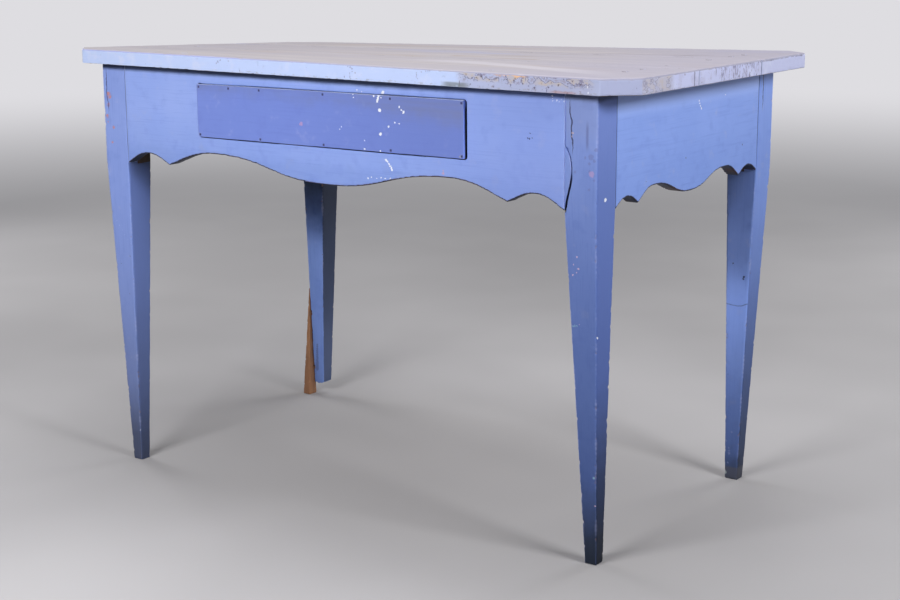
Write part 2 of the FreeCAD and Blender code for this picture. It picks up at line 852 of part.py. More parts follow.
export(top_boards[0], "top_board_front")
export(top_boards[1], "top_board_middle")
export(top_boards[2], "top_board_rear")
export(Part.makeCompound(top_nails), "top_nails")

export(front_apron, "front_apron")
export(back_apron, "back_apron")
export(left_apron, "left_apron")
export(right_apron, "right_apron")
export(front_left_leg, "front_left_leg")
export(front_right_leg, "front_right_leg")
export(front_right_leg_splinter, "front_right_leg_splinter")
export(back_right_leg, "back_right_leg")
export(back_left_leg, "back_left_leg")
export(back_left_leg_splint, "back_left_leg_splint")
export(Part.makeCompound(splint_nails), "splint_nails")
export(Part.makeCompound(pegs), "frame_pegs")
export(Part.makeCompound(glue_blocks()), "glue_blocks")

export(runner(-1, 0), "left_runner")
export(runner(1, 0), "right_runner")
export(guide(-1), "left_guide")
export(guide(1), "right_guide")
export(kicker(-1, 0), "left_kicker")
export(kicker(1, 0), "right_kicker")
export(Part.makeCompound([stop(-1), stop(1)]), "drawer_stops")

export(tilted(drawer_front), "drawer_front")
export(tilted(drawer_facing), "drawer_facing")
export(tilted(Part.makeCompound(facing_nails)), "facing_nails")
export(tilted(drawer_side(-1)), "drawer_left_side")
export(tilted(drawer_side(1)), "drawer_right_side")
export(tilted(drawer_back), "drawer_back")
export(tilted(bottom_plate.common(ahead)), "drawer_bottom_front")
export(tilted(bottom_plate.common(behind)), "drawer_bottom_rear")
export(tilted(Part.makeCompound(bottom_nails)), "bottom_nails")
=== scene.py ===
import math

import bpy
import numpy as np
from mathutils import Euler, Matrix, Vector
from mathutils.kdtree import KDTree


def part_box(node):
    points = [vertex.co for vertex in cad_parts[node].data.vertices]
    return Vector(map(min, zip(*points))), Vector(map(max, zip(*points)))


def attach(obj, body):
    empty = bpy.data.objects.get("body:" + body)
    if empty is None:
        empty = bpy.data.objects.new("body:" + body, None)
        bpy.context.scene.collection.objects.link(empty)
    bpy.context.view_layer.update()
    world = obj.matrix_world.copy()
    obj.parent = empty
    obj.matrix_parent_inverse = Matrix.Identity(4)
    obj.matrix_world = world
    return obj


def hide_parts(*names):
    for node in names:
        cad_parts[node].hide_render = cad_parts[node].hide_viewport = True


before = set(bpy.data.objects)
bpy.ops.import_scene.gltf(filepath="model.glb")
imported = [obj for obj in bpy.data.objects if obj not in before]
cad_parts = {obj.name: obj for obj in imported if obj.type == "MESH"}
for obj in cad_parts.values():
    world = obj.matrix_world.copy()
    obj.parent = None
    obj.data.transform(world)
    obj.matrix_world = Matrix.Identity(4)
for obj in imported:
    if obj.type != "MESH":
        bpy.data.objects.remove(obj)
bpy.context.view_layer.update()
mm = 0.001

# --- Legs -------------------------------------------------
# Four softwood legs, sawn square, planed by hand and tapered from 56 mm at the apron to some 22 mm at
# the floor, with the aprons' tenons pegged into them. They were painted with the frame and have lost
# paint on their arrises. The back left one has broken off short.

leg_cell = 1.9 * mm
arris_reach = 9 * mm
plane_wave = 0.35 * mm
mark_rag = 4.5 * mm
merge_gap = 0.01 * mm
flat_angle = math.radians(0.4)
sharp_angle = math.radians(28)
knock_steps = 10


class Tone:
    """A value or colour on its way through a finish, so that sums can be written as sums."""

    def __init__(self, tree, socket=None):
        self.tree = tree
        self.socket = socket

    def node(self, kind, settings=None, values=None, out=0):
        """A new node with its settings and its inputs, which are values or other tones; the tone is the
        output out. The setting stops fills a colour ramp."""
        made = self.tree.nodes.new(kind)
        for name, setting in (settings or {}).items():
            if name == "stops":
                while len(made.color_ramp.elements) < len(setting):
                    made.color_ramp.elements.new(0.5)
                for stop, (position, colour) in zip(made.color_ramp.elements, setting):
                    stop.position = position
                    stop.color = colour
            else:
                setattr(made, name, setting)
        for name, value in (values or {}).items():
            if isinstance(value, Tone):
                self.tree.links.new(value.socket, made.inputs[name])
            else:
                made.inputs[name].default_value = value
        return Tone(self.tree, made.outputs[out])

    def sum(self, operation, first, second):
        """One step of arithmetic, or the larger of two, between tones and numbers."""
        return self.node("ShaderNodeMath", {"operation": operation}, {0: first, 1: second})

    def __add__(self, other):
        return self.sum("ADD", self, other)

    __radd__ = __add__

    def __sub__(self, other):
        return self.sum("SUBTRACT", self, other)

    def __rsub__(self, other):
        return self.sum("SUBTRACT", other, self)

    def __mul__(self, other):
        return self.sum("MULTIPLY", self, other)

    __rmul__ = __mul__

    def __lt__(self, other):
        return self.sum("LESS_THAN", self, other)

    def __gt__(self, other):
        return self.sum("GREATER_THAN", self, other)

    def __or__(self, other):
        return self.sum("MAXIMUM", self, other)


def pigment(red, green, blue):
    """A colour from its 0-255 screen values."""
    def straight(part):
        part = part / 255
        return part / 12.92 if part <= 0.04045 else ((part + 0.055) / 1.055) ** 2.4
    return (straight(red), straight(green), straight(blue), 1.0)


def tint(under, over, share):
    """The colour under, with the colour over laid on it by share."""
    start = next(t for t in (share, under, over) if isinstance(t, Tone))
    return start.node("ShaderNodeMix", {"data_type": "RGBA"}, {0: share, 6: under, 7: over}, 2)


def between(value, low, high):
    """0 where the value is below low, 1 above high, with a soft step; low may be the larger."""
    return value.node("ShaderNodeMapRange", {"interpolation_type": "SMOOTHSTEP"},
                      {"Value": value, "From Min": low, "From Max": high})


def cloud(place, scale, detail=3.0, stretch=(1, 1, 1), rough=0.55):
    """Uneven tone with features of about 1/scale metres, drawn out along the axes of small stretch."""
    spot = place.node("ShaderNodeMapping", {}, {"Vector": place, "Scale": stretch})
    return spot.node("ShaderNodeTexNoise", {},
                     {"Vector": spot, "Scale": scale, "Detail": detail, "Roughness": rough})


def specks(place, per_metre, size):
    """Small round specks of uneven size, 1 inside and 0 outside."""
    cells = place.node("ShaderNodeTexVoronoi", {}, {"Vector": place, "Scale": per_metre})
    keep = between(cloud(place, per_metre * 0.4, 1.0), 0.5, 0.62)
    return between(cells * (1 / per_metre), size, size * 0.4) * keep


def marks(place, flat, spots):
    """Marks at known places: 1 inside each spot, which is (place across, height, radius) in mm, seen
    along the axis that flat sets to 0."""
    rag = place.node("ShaderNodeTexNoise", {}, {"Vector": place, "Scale": 260.0, "Detail": 2.0}, "Color")
    rag = rag.node("ShaderNodeVectorMath", {"operation": "MULTIPLY_ADD"},
                   {0: rag, 1: (mark_rag,) * 3, 2: (-mark_rag / 2,) * 3})
    ragged = place.node("ShaderNodeVectorMath", {"operation": "ADD"}, {0: place, 1: rag})
    level = ragged.node("ShaderNodeVectorMath", {"operation": "MULTIPLY"}, {0: ragged, 1: flat})
    near = None
    for across, height, radius in spots:
        centre = (across * mm * flat[0], across * mm * flat[1], height * mm)
        gap = level.node("ShaderNodeVectorMath", {"operation": "DISTANCE"}, {0: level, 1: centre}, "Value")
        inside = between(gap, radius * 1.15 * mm, radius * 0.75 * mm)
        near = inside if near is None else near | inside
    return near


class Finish:
    """The start of a material: where a point is, its parts, its facing, and its measured wear."""

    def __init__(self, name):
        self.material = bpy.data.materials.new(name)
        self.material.use_nodes = True
        self.tree = self.material.node_tree
        self.shader = self.tree.nodes["Principled BSDF"]
        blank = Tone(self.tree)
        self.place = blank.node("ShaderNodeTexCoord", out="Object")
        parts = blank.node("ShaderNodeSeparateXYZ", {}, {0: self.place})
        self.x, self.y, self.z = (Tone(self.tree, s) for s in parts.socket.node.outputs)
        facing = blank.node("ShaderNodeNewGeometry", out="Normal")
        facing = blank.node("ShaderNodeSeparateXYZ", {}, {0: facing})
        self.fx, self.fy, self.fz = (Tone(self.tree, s) for s in facing.socket.node.outputs)
        self.arris = blank.node("ShaderNodeAttribute", {"attribute_name": "arris"}, out="Fac")
        self.bite = blank.node("ShaderNodeAttribute", {"attribute_name": "bite"}, out="Fac")

    def wear(self, colour, rough, height, depth, coat=0.0, specular=0.4):
        """Sends the finished colour, roughness and relief to the shader."""
        bump = height.node("ShaderNodeBump", {}, {"Height": height, "Strength": 1.0, "Distance": depth},
                           "Normal")
        for name, value in (("Base Color", colour), ("Roughness", rough), ("Normal", bump)):
            self.tree.links.new(value.socket, self.shader.inputs[name])
        self.shader.inputs["Coat Weight"].default_value = coat
        self.shader.inputs["Specular IOR Level"].default_value = specular
        return self.material


table_height = 760
inner_half_width = 0.4847
inner_half_depth = 0.2747
# The heights, in metres, of the painted shadow under the top's overhang.
overhang_shade_from, overhang_shade_full = 0.7200, 0.7275
old_wood = pigment(128, 100, 78)
dark_wood = pigment(74, 58, 48)
darkest_wood = pigment(48, 38, 33)
# The colour of the painted shadow under the top's overhang.
overhang_shade = pigment(24, 32, 60)
fly_specks = pigment(58, 60, 84)
blue_paint = pigment(143, 166, 231)
faded_paint = pigment(156, 175, 233)
deep_paint = pigment(114, 135, 208)
bare_lavender = pigment(176, 182, 222)


def soiled_and_shaded(kept, dirt):
    """What darkening leaves of the red, green and blue light, where kept is the share of red: dirt, and
    painted shade where a ramp paints the fall of light and cast shadows; deep darkening is nearly black."""
    thick = max(0.0, 1 - kept / 0.3) ** 2
    return (kept, kept ** (dirt[0] + 0.15 * thick), kept ** (dirt[1] + 0.45 * thick), 1.0)


def old_paint(name, along, ground=blue_paint, deep=deep_paint, faded=faded_paint, soil_and_shade=(), end_soil_and_shade=(),
              dirt=(0.84, 0.65), sides=(), extra=(), bare_above=533, chipped=0.7, rear_soil_and_shade=()):
    """Matt oil paint, brushed along the grain: faded, worn to the wood on the arrises by the share
    chipped, and darkened by ramps of (height in mm, share of the light kept): one for most faces, one for
    faces towards the right and one for those towards the back and the left, each falling back to the
    first. The ramps hold dirt, and on the legs painted shade as well: light falling off towards the
    floor, and the shadows that the aprons and the top cast. The two powers in dirt are how much of the
    green and blue light goes with the darkening. Each of sides is (axis, sign, colour, share) for a face
    painted darker, and extra holds further marks as (mask maker, colour), with these colours as 0-255
    screen values. A band just under the top is painted shadow, where the top's overhang shades it.
    Inside the frame the wood is bare above the height bare_above, in mm."""
    look = Finish(name)
    place = look.place
    brush = cloud(place, 330.0, 3.0, along)
    broad = cloud(place, 5.5, 3.0)
    mottle = cloud(place, 38.0, 4.0)
    fine = cloud(place, 420.0, 2.0)
    colour = tint(ground, faded, between(broad, 0.42, 0.68) * 0.55)
    colour = tint(colour, deep, between(brush, 0.48, 0.78) * 0.34)
    colour = tint(colour, deep, between(mottle, 0.52, 0.74) * 0.30)
    colour = tint(colour, bare_lavender, between(mottle, 0.40, 0.26) * 0.22)
    for axis, sign, darker, share in sides:
        toward = {"x": look.fx, "y": look.fy}[axis] * sign
        colour = tint(colour, pigment(*darker), between(toward, 0.5, 0.8) * share)
    level = (look.z + (mottle - 0.5) * 0.05) * (1 / (table_height * mm))
    right = between(look.fx, 0.5, 0.8)
    rear = between(look.fy, 0.4, 0.7) | between(look.fx * -1, 0.4, 0.7)
    elsewhere = (1 - right) * (1 - rear)
    # Darkening by height: dirt, and on the legs painted shade for the fall of light and cast shadows.
    for levels, share in ((soil_and_shade, elsewhere), (end_soil_and_shade or soil_and_shade, right), (rear_soil_and_shade or soil_and_shade, rear)):
        if levels:
            stops = [(height / table_height, soiled_and_shaded(kept, dirt)) for height, kept in levels]
            light = level.node("ShaderNodeValToRGB", {"stops": stops}, {"Fac": level})
            dirty_and_shaded = colour.node("ShaderNodeVectorMath", {"operation": "MULTIPLY"}, {0: colour, 1: light})
            colour = tint(colour, dirty_and_shaded, share)
    scuffed = between(look.arris + (cloud(place, 22.0, 4.0) - 0.5) * 0.9, 0.84, 1.12)
    colour = tint(colour, bare_lavender, scuffed * 0.36 * between(look.z, 0.0, 0.13))
    rubbed = between(look.arris + (cloud(place, 75.0, 5.0) - 0.5) * 1.7, 1.22, 1.30)
    colour = tint(colour, old_wood, rubbed * chipped)
    colour = tint(colour, old_wood, between(look.bite, 0.6 * mm, 1.0 * mm) * chipped)
    # Painted shadow: a dark band just under the top, where its overhang shades the aprons and legs.
    colour = tint(colour, overhang_shade, between(look.z + (mottle - 0.5) * 0.003, overhang_shade_from, overhang_shade_full) * 0.78)
    dots = specks(place, 26.0, 1.3 * mm)
    colour = tint(colour, fly_specks, dots * 0.75)
    for mask, over in extra:
        colour = tint(colour, pigment(*over), mask(look))
    inner = ((look.x * look.x) < inner_half_width ** 2) * ((look.y * look.y) < inner_half_depth ** 2)
    inner = inner * (look.z > bare_above * mm)
    grain = cloud(place, 60.0, 4.0, along)
    colour = tint(colour, tint(dark_wood, darkest_wood, between(grain, 0.35, 0.7)), inner)
    rough = 0.46 + 0.22 * broad + 0.12 * scuffed + 0.15 * inner
    relief = brush * 0.35 + mottle * 0.4 + fine * 0.12 - dots * 0.8 - scuffed * 0.3
    return look.wear(colour, rough, relief, 0.5 * mm, 0.03, 0.24)


def pick(piece):
    """Makes one piece the only selected one, ready for an operator."""
    bpy.ops.object.select_all(action="DESELECT")
    bpy.context.view_layer.objects.active = piece
    piece.select_set(True)


def from_blank(node, name):
    """A copy of a sawn blank with its facets merged, so that it can be worked on."""
    piece = bpy.data.objects.new(name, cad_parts[node].data.copy())
    piece.data.name = name
    piece.data.materials.clear()
    bpy.context.scene.collection.objects.link(piece)
    pick(piece)
    bpy.ops.object.mode_set(mode="EDIT")
    bpy.ops.mesh.select_all(action="SELECT")
    bpy.ops.mesh.remove_doubles(threshold=merge_gap)
    bpy.ops.mesh.dissolve_limited(angle_limit=flat_angle)
    bpy.ops.mesh.normals_make_consistent(inside=False)
    bpy.ops.object.mode_set(mode="OBJECT")
    return piece


def points_of(piece):
    """Where a piece's points are, one row each."""
    rows = np.empty(len(piece.data.vertices) * 3)
    piece.data.vertices.foreach_get("co", rows)
    return rows.reshape(-1, 3)


opening_x, opening_y, opening_z = 0.285, (-0.2972, -0.25), (0.612, 0.722)
joint_x, joint_y, joint_foot = (0.448, 0.456), (0.237, 0.245), 0.565


def covered(spot):
    """Whether a place is on a joint of the frame or round the drawer, where nothing knocks an arris."""
    x, y, z = spot
    round_drawer = (abs(x) < opening_x and opening_y[0] < y < opening_y[1]
                    and opening_z[0] < z < opening_z[1])
    on_joint = z > joint_foot and (joint_x[0] < abs(x) < joint_x[1] or joint_y[0] < abs(y) < joint_y[1])
    return round_drawer or on_joint


def arris_lines(piece, step=2.5 * mm):
    """Places along every open sharp edge of a blank, to look up how near an arris a point is."""
    pick(piece)
    bpy.ops.object.mode_set(mode="EDIT")
    bpy.ops.mesh.select_mode(type="EDGE")
    bpy.ops.mesh.select_all(action="DESELECT")
    bpy.ops.mesh.edges_select_sharp(sharpness=sharp_angle)
    bpy.ops.object.mode_set(mode="OBJECT")
    where = points_of(piece)
    places = []
    for edge in piece.data.edges:
        if edge.select:
            a, b = (where[i] for i in edge.vertices)
            count = max(1, int(np.linalg.norm(b - a) / step))
            places += [a + (b - a) * k / count for k in range(count + 1) if not covered((a + b) / 2)]
    tree = KDTree(len(places))
    for index, spot in enumerate(places):
        tree.insert(spot, index)
    tree.balance()
    return tree


def write_down(piece, name, amounts):
    """Keeps a number for each point of a piece, for its finish to read."""
    kept = piece.data.attributes.new(name, "FLOAT", "POINT")
    kept.data.foreach_set("value", np.asarray(amounts, float))


def apply_modifier(piece, kind, **settings):
    """Adds one modifier and applies it."""
    made = piece.modifiers.new(kind.title(), kind)
    for name, value in settings.items():
        setattr(made, name, value)
    pick(piece)
    bpy.ops.object.modifier_apply(modifier=made.name)


def clouds(name, size, low, high):
    """An uneven field for a Displace modifier: 0 where its clouds are under low, 1 above high."""
    field = bpy.data.textures.new(name, "CLOUDS")
    field.noise_scale = size
    field.noise_depth = 2
    field.use_color_ramp = True
    for stop, (position, tone) in zip(field.color_ramp.elements, ((low, 0.0), (high, 1.0))):
        stop.position = position
        stop.color = (tone, tone, tone, 1.0)
    return field


planing = clouds("planing", 60 * mm, 0.2, 0.8)
knocks = clouds("knocks", 9 * mm, 0.20, 0.40)


def worked(node, name, cell=leg_cell, wave=plane_wave, knock=1.6 * mm):
    """A blank as planed and used: its long faces wave a little and its arrises are rounded and knocked.
    cell is the size of its mesh; wave and knock are how deep the two go."""
    piece = from_blank(node, name)
    lines = arris_lines(piece)
    apply_modifier(piece, "REMESH", mode="VOXEL", voxel_size=cell)
    before = points_of(piece)
    near = np.array([max(0.0, 1 - lines.find(spot)[2] / arris_reach) for spot in before])
    write_down(piece, "arris", near)
    group = piece.vertex_groups.new(name="arris")
    for step in range(1, knock_steps + 1):
        inside = np.nonzero((near > (step - 1) / knock_steps) & (near <= step / knock_steps))[0]
        group.add(inside.tolist(), (step / knock_steps) ** 2, "REPLACE")
    apply_modifier(piece, "DISPLACE", texture=planing, texture_coords="LOCAL", strength=wave, mid_level=1.0)
    even = points_of(piece)
    apply_modifier(piece, "DISPLACE", texture=knocks, texture_coords="LOCAL", strength=knock,
                   mid_level=1.0, vertex_group="arris")
    write_down(piece, "bite", np.linalg.norm(points_of(piece) - even, axis=1))
    piece.vertex_groups.clear()
    pick(piece)
    bpy.ops.object.shade_smooth()
    return piece


def fit(piece, node, body, finish):
    """Puts a finished piece on its body, in place of its blank."""
    piece.data.materials.append(finish)
    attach(piece, body)
    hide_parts(node)


upright = (1, 1, 0.035)
leg_blue = pigment(132, 153, 217)
leg_deep = pigment(108, 130, 198)
leg_faded = pigment(146, 166, 227)
clear_blue = pigment(131, 159, 232)
clear_deep = pigment(106, 135, 214)
clear_faded = pigment(144, 173, 242)
front = (1, 0, 1)
sideways = (0, 1, 1)
leg_face_x, leg_face_y = 0.452, -0.241
soft_end = 9
chip_pink = (214, 158, 158)
chip_orange = (205, 130, 100)
white_paint = (238, 240, 246)


def at(spots, flat, share=0.9):
    """A mark maker for old_paint: spots on a face towards the front, or with flat set to sideways on one
    towards the right."""
    def mask(look):
        toward = look.fy * -1 if flat == front else look.fx
        return marks(look.place, flat, spots) * between(toward, 0.4, 0.7) * share
    return mask


def joint_line(axis, place, share):
    """A mark maker for a joint: a fine upright line at place, in mm, laid on in a dark dirt colour at some
    joints and at others in pale paint, a painted light that lifts the shade in the joint.
    """
    def mask(look):
        across = {"x": look.x, "y": look.y}[axis] - place * mm
        gap = across * across
        return between(gap, (1.3 * mm) ** 2, (0.5 * mm) ** 2) * (look.z > 0.56) * share
    return mask


def shade(axis, sign, slope, low, high, share):
    """A mark maker for painted shadow high up on a leg's inner face, under the apron, deeper on the side
    that slope says."""
    def mask(look):
        toward, across, edge = {"x": (look.fx, look.y, leg_face_y), "y": (look.fy, look.x, leg_face_x)}[axis]
        level = look.z + (across - edge) * slope
        return between(level, low, high) * between(toward * sign, 0.5, 0.8) * share
    return mask


def stretch_of(value, low, high):
    """1 where the value lies between two places in mm, with soft ends."""
    begun = between(value, (low - soft_end) * mm, (low + soft_end) * mm)
    return begun * between(value, (high + soft_end) * mm, (high - soft_end) * mm)


def foot(top, share):
    """A mark maker for the worn end of a foot, up to the height top in mm."""
    def mask(look):
        ragged = look.z + (cloud(look.place, 90.0, 3.0) - 0.5) * 0.008
        return between(ragged, (top + 2) * mm, (top - 2) * mm) * share
    return mask


def crack(start, end, width, axis="x"):
    """A mark maker for a drying crack that wanders from start to end, each (across, height) in mm."""
    def mask(look):
        across = {"x": look.x, "y": look.y}[axis]
        share = (look.z - start[1] * mm) * (1 / ((end[1] - start[1]) * mm))
        wander = (cloud(look.place, 55.0, 4.0) - 0.5) * 9 * mm
        off = across - (start[0] * mm + share * ((end[0] - start[0]) * mm) + wander)
        opened = share * (1 - share) * 4
        widest = (width * mm) ** 2
        return between(off * off - opened * widest, 0.0, -0.6 * widest) * (opened > 0.02)
    return mask


left_chips = [(-496, 680, 3.6), (-492, 674, 2.6), (-495.5, 662, 2.0), (-501, 641, 2.2),
              (-499, 630, 1.6), (-485.6, 620.5, 1.9), (-490.4, 594, 2.0)]
left_halo = [(-494, 677, 6.5), (-496, 660, 4.0), (-500, 640, 4.0), (-486, 621, 3.4)]
left_scratch = [(-492, 452, 0.9), (-486, 443, 0.9), (-480, 435, 0.8), (-474, 427, 0.8),
                (-467, 420, 0.8), (-460, 413, 0.8)]
left_spots = [(-464, 389, 1.3), (-489, 372, 0.9), (-472, 318, 1.0), (-458.5, 260, 2.2),
              (-462, 140, 1.2), (-478, 64, 1.4)]
left_pale = [(-459, 263, 1.0), (-469, 58, 1.6), (-463, 196, 1.0)]
right_chips = [(472.5, 492.7, 1.5), (466.7, 479.3, 1.3), (474.5, 474.9, 1.5),
               (471.2, 468.4, 1.1), (464.8, 463.8, 1.2), (474, 388, 0.9), (494, 100, 1.2)]
right_blush = [(498.3, 618.0, 4.6)]
right_green = [(462.5, 384.5, 1.6), (466, 385.2, 1.8), (469.8, 385.5, 1.3), (492.2, 146, 1.7)]
right_white = [(-272, 578, 3.2), (-277, 186, 2.4), (-279, 370, 1.6)]
right_scuffs = [(497, 643, 4.5), (502, 638, 2.6), (495, 622, 2.4), (494, 633, 2.4),
                (487, 641, 2.0), (470, 619, 1.6), (505, 654, 3.0), (494.5, 595, 2.2),
                (503, 609, 1.8)]
right_tears = [(465.5, 676, 1.6), (464.6, 671, 1.1)]
joint_dirt = (50, 58, 92)
# Pale paint laid along joints as painted light, lifting the shade in them.
joint_painted_light = (190, 206, 252)
# The colour of painted shadow high on the legs under the aprons.
apron_shadow = (30, 38, 56)
# The colour of the painted shadow in the split.
split_shade = (22, 26, 42)
outer_soil = [(0, 0.12), (50, 0.30), (150, 0.60), (330, 0.86), (500, 1.0)]
leg_bare_above = 556

leg_front_left = worked("front_left_leg", "leg_front_left")
fit(leg_front_left, "front_left_leg", "frame", old_paint(
    "paint on the front left leg", upright, leg_blue, leg_deep, leg_faded,
    # Darker towards the floor: dirt, with painted shade for the light falling off downwards.
    [(0, 0.27), (50, 0.30), (150, 0.66), (330, 0.90), (500, 1.0)],
    [(0, 0.23), (50, 0.28), (150, 0.50), (330, 0.75), (480, 0.89)], (1.08, 1.22),
    # Painted shade on the face towards the right, under the table.
    sides=[("x", 1, (116, 142, 217), 0.85)],
    extra=[(at(left_halo, front, 0.5), (172, 132, 152)), (at(left_chips, front, 0.65), chip_orange),
           (at(left_scratch, front, 0.6), (168, 184, 236)), (at(left_spots, front, 0.7), (80, 80, 100)),
           # Painted shadow of the apron high on the inner face.
           (at(left_pale, front, 0.7), (176, 182, 200)), (shade("x", 1, 0.9, 0.475, 0.55, 0.78), apron_shadow),
           (crack((-499, 736), (-497, 640), 1.1), (74, 84, 128)),
           (joint_line("x", -452, 0.55), joint_painted_light)],
    bare_above=leg_bare_above, chipped=0.35, rear_soil_and_shade=outer_soil))

split_x, split_low, split_length = 0.4543, 0.5595, 0.098


def split_shadow(look):
    """Painted shadow in the gaping lower end of the split beside the front right leg. The split bends
    away from split_x as it climbs."""
    up = (look.z - split_low) * (1 / split_length)
    bend = up * 0.00922 + up * up * 0.05306 - up * up * up * 0.06328
    off = look.x - split_x - bend
    low_end = between(look.z, 0.622, 0.600) * (look.z > 0.558)
    return between(off * off, (2.2 * mm) ** 2, (1.2 * mm) ** 2) * low_end * 0.92


def grey_head(look):
    """The greyer paint at the head of the leg."""
    return between(look.z, 0.645, 0.69) * between(look.fy * -1, 0.5, 0.8) * 0.35


def soft_smear(look):
    """A soft blue-grey smear down the middle of the leg's head."""
    off = look.x - 0.4905 + (cloud(look.place, 60.0, 4.0, upright) - 0.5) * 0.008
    return between(off * off, (3.2 * mm) ** 2, 0.0) * stretch_of(look.z, 655, 690) * 0.6


leg_front_right = worked("front_right_leg", "leg_front_right")
front_right_paint = old_paint(
    "paint on the front right leg", upright, leg_blue, leg_deep, leg_faded,
    # Much darker towards the floor: dirt, with painted shade for the light falling off downwards and to the
    # right.
    [(0, 0.045), (40, 0.062), (150, 0.245), (300, 0.355), (450, 0.49), (600, 0.66), (700, 0.86)],
    [(0, 0.03), (40, 0.045), (150, 0.115), (300, 0.40), (450, 0.55), (600, 0.69), (700, 0.90)],
    sides=[("x", 1, (111, 134, 206), 0.8)],
    extra=[(grey_head, (126, 138, 180)), (at(right_scuffs, front, 0.42), (104, 108, 158)),
           (soft_smear, (92, 100, 150)), (at(right_blush, front, 0.55), (178, 146, 186)),
           (at(right_chips, front, 0.75), (206, 176, 196)),
           (at(right_green, front, 0.7), (128, 166, 190)), (at(right_white, sideways), white_paint),
           (crack((459.5, 731), (466.5, 640), 1.5), (60, 66, 100)),
           (at(right_tears, front, 0.7), (188, 166, 168)),
           (joint_line("x", 452, 0.7), joint_painted_light), (split_shadow, split_shade),
           (joint_line("y", -241, 0.8), joint_dirt)],
    bare_above=leg_bare_above, chipped=0.22, rear_soil_and_shade=outer_soil)
fit(leg_front_right, "front_right_leg", "frame", front_right_paint)

leg_splinter = worked("front_right_leg_splinter", "leg_splinter", cell=1.0 * mm, wave=0.1 * mm,
                      knock=0.6 * mm)
fit(leg_splinter, "front_right_leg_splinter", "frame", front_right_paint)


def cross_crack(look):
    """A hairline crack right across the front of the back right leg."""
    across = look.x - 0.475
    off = look.z - (0.3185 + across * across * 9.0 + (cloud(look.place, 70.0, 3.0) - 0.5) * 0.006)
    return between(off * off, (1.2 * mm) ** 2, (0.4 * mm) ** 2) * between(look.fy * -1, 0.5, 0.8) * 0.6


right_rear_spots = [(469.7, 394, 1.5), (491.5, 371.5, 2.4), (489.7, 367.5, 1.8)]
right_rear_pale = [(474.5, 47, 2.2), (474, 52, 2.0), (473.5, 57, 1.8), (468, 70, 1.8),
                   (478, 88, 2.0), (472, 30, 1.5)]
leg_back_right = worked("back_right_leg", "leg_back_right")
fit(leg_back_right, "back_right_leg", "frame", old_paint(
    "paint on the back right leg", upright, clear_blue, clear_deep, clear_faded,
    # Darker towards the floor: dirt, with painted shade for the falling light; the dip about 500 mm high is
    # painted shadow under the apron.
    [(0, 0.10), (30, 0.17), (60, 0.28), (150, 0.43), (350, 0.99), (440, 0.9), (500, 0.68), (700, 1.0)],
    [(0, 0.07), (60, 0.13), (150, 0.20), (350, 0.50), (500, 0.76), (700, 0.96)], (0.93, 0.84),
    # Painted shadow of the apron high on the front face.
    extra=[(shade("y", -1, -1.5, 0.45, 0.56, 0.7), apron_shadow), (cross_crack, (56, 66, 104)),
           (at(right_rear_spots, front), (36, 40, 66)),
           (at(right_rear_pale, front, 0.5), (118, 126, 166)), (foot(23, 0.75), (70, 72, 84)),
           (at([(468, 11, 2.6)], front, 0.7), (168, 180, 184)),
           (crack((255, 742), (257, 656), 1.4, "y"), joint_dirt)],
    bare_above=leg_bare_above, chipped=0.4, rear_soil_and_shade=outer_soil))

left_rear_chips = [(-449.5, 328, 1.6), (-449.5, 318, 1.3), (-449.8, 305, 1.8), (-450, 296, 1.2)]
left_rear_stain = [(-486 - 0.2 * k, 108 - 4.5 * k, 2.4 + 0.15 * k) for k in range(13)]
leg_back_left = worked("back_left_leg", "leg_back_left")
fit(leg_back_left, "back_left_leg", "frame", old_paint(
    "paint on the back left leg", upright, clear_blue, clear_deep, clear_faded,
    # Painted shadow: dark above about 400 mm on the front and the right face, where the front apron and the
    # top shade the leg; the foot is a little darker, dirt with painted shade.
    [(0, 0.5), (60, 0.7), (150, 0.84), (320, 0.82), (400, 0.32), (450, 0.13)],
    [(0, 0.6), (60, 0.88), (100, 0.94), (200, 0.72), (350, 0.45), (440, 0.24)], (0.88, 0.80),
    # Painted shade on the face towards the right.
    sides=[("x", 1, (78, 87, 112), 0.85)],
    extra=[(at(left_rear_chips, front, 0.8), (186, 126, 104)),
           (at(left_rear_stain, front, 0.5), (76, 84, 122)),
           (at([(-445, 56, 2.4), (-449, 60, 1.4)], front, 0.7), (198, 196, 204))],
    rear_soil_and_shade=outer_soil))

# --- Splint on the broken leg -----------------------------
# A riven wedge of bare orange-brown softwood, nailed to the outside of the broken back leg so that it
# still reaches the floor. It was never painted.


def opening_rim(look):
    """The upper and left borders of the drawer's opening and front, where the paint ran in."""
    return between(look.z, 0.698, 0.706) | between(look.x, -0.266, -0.271)


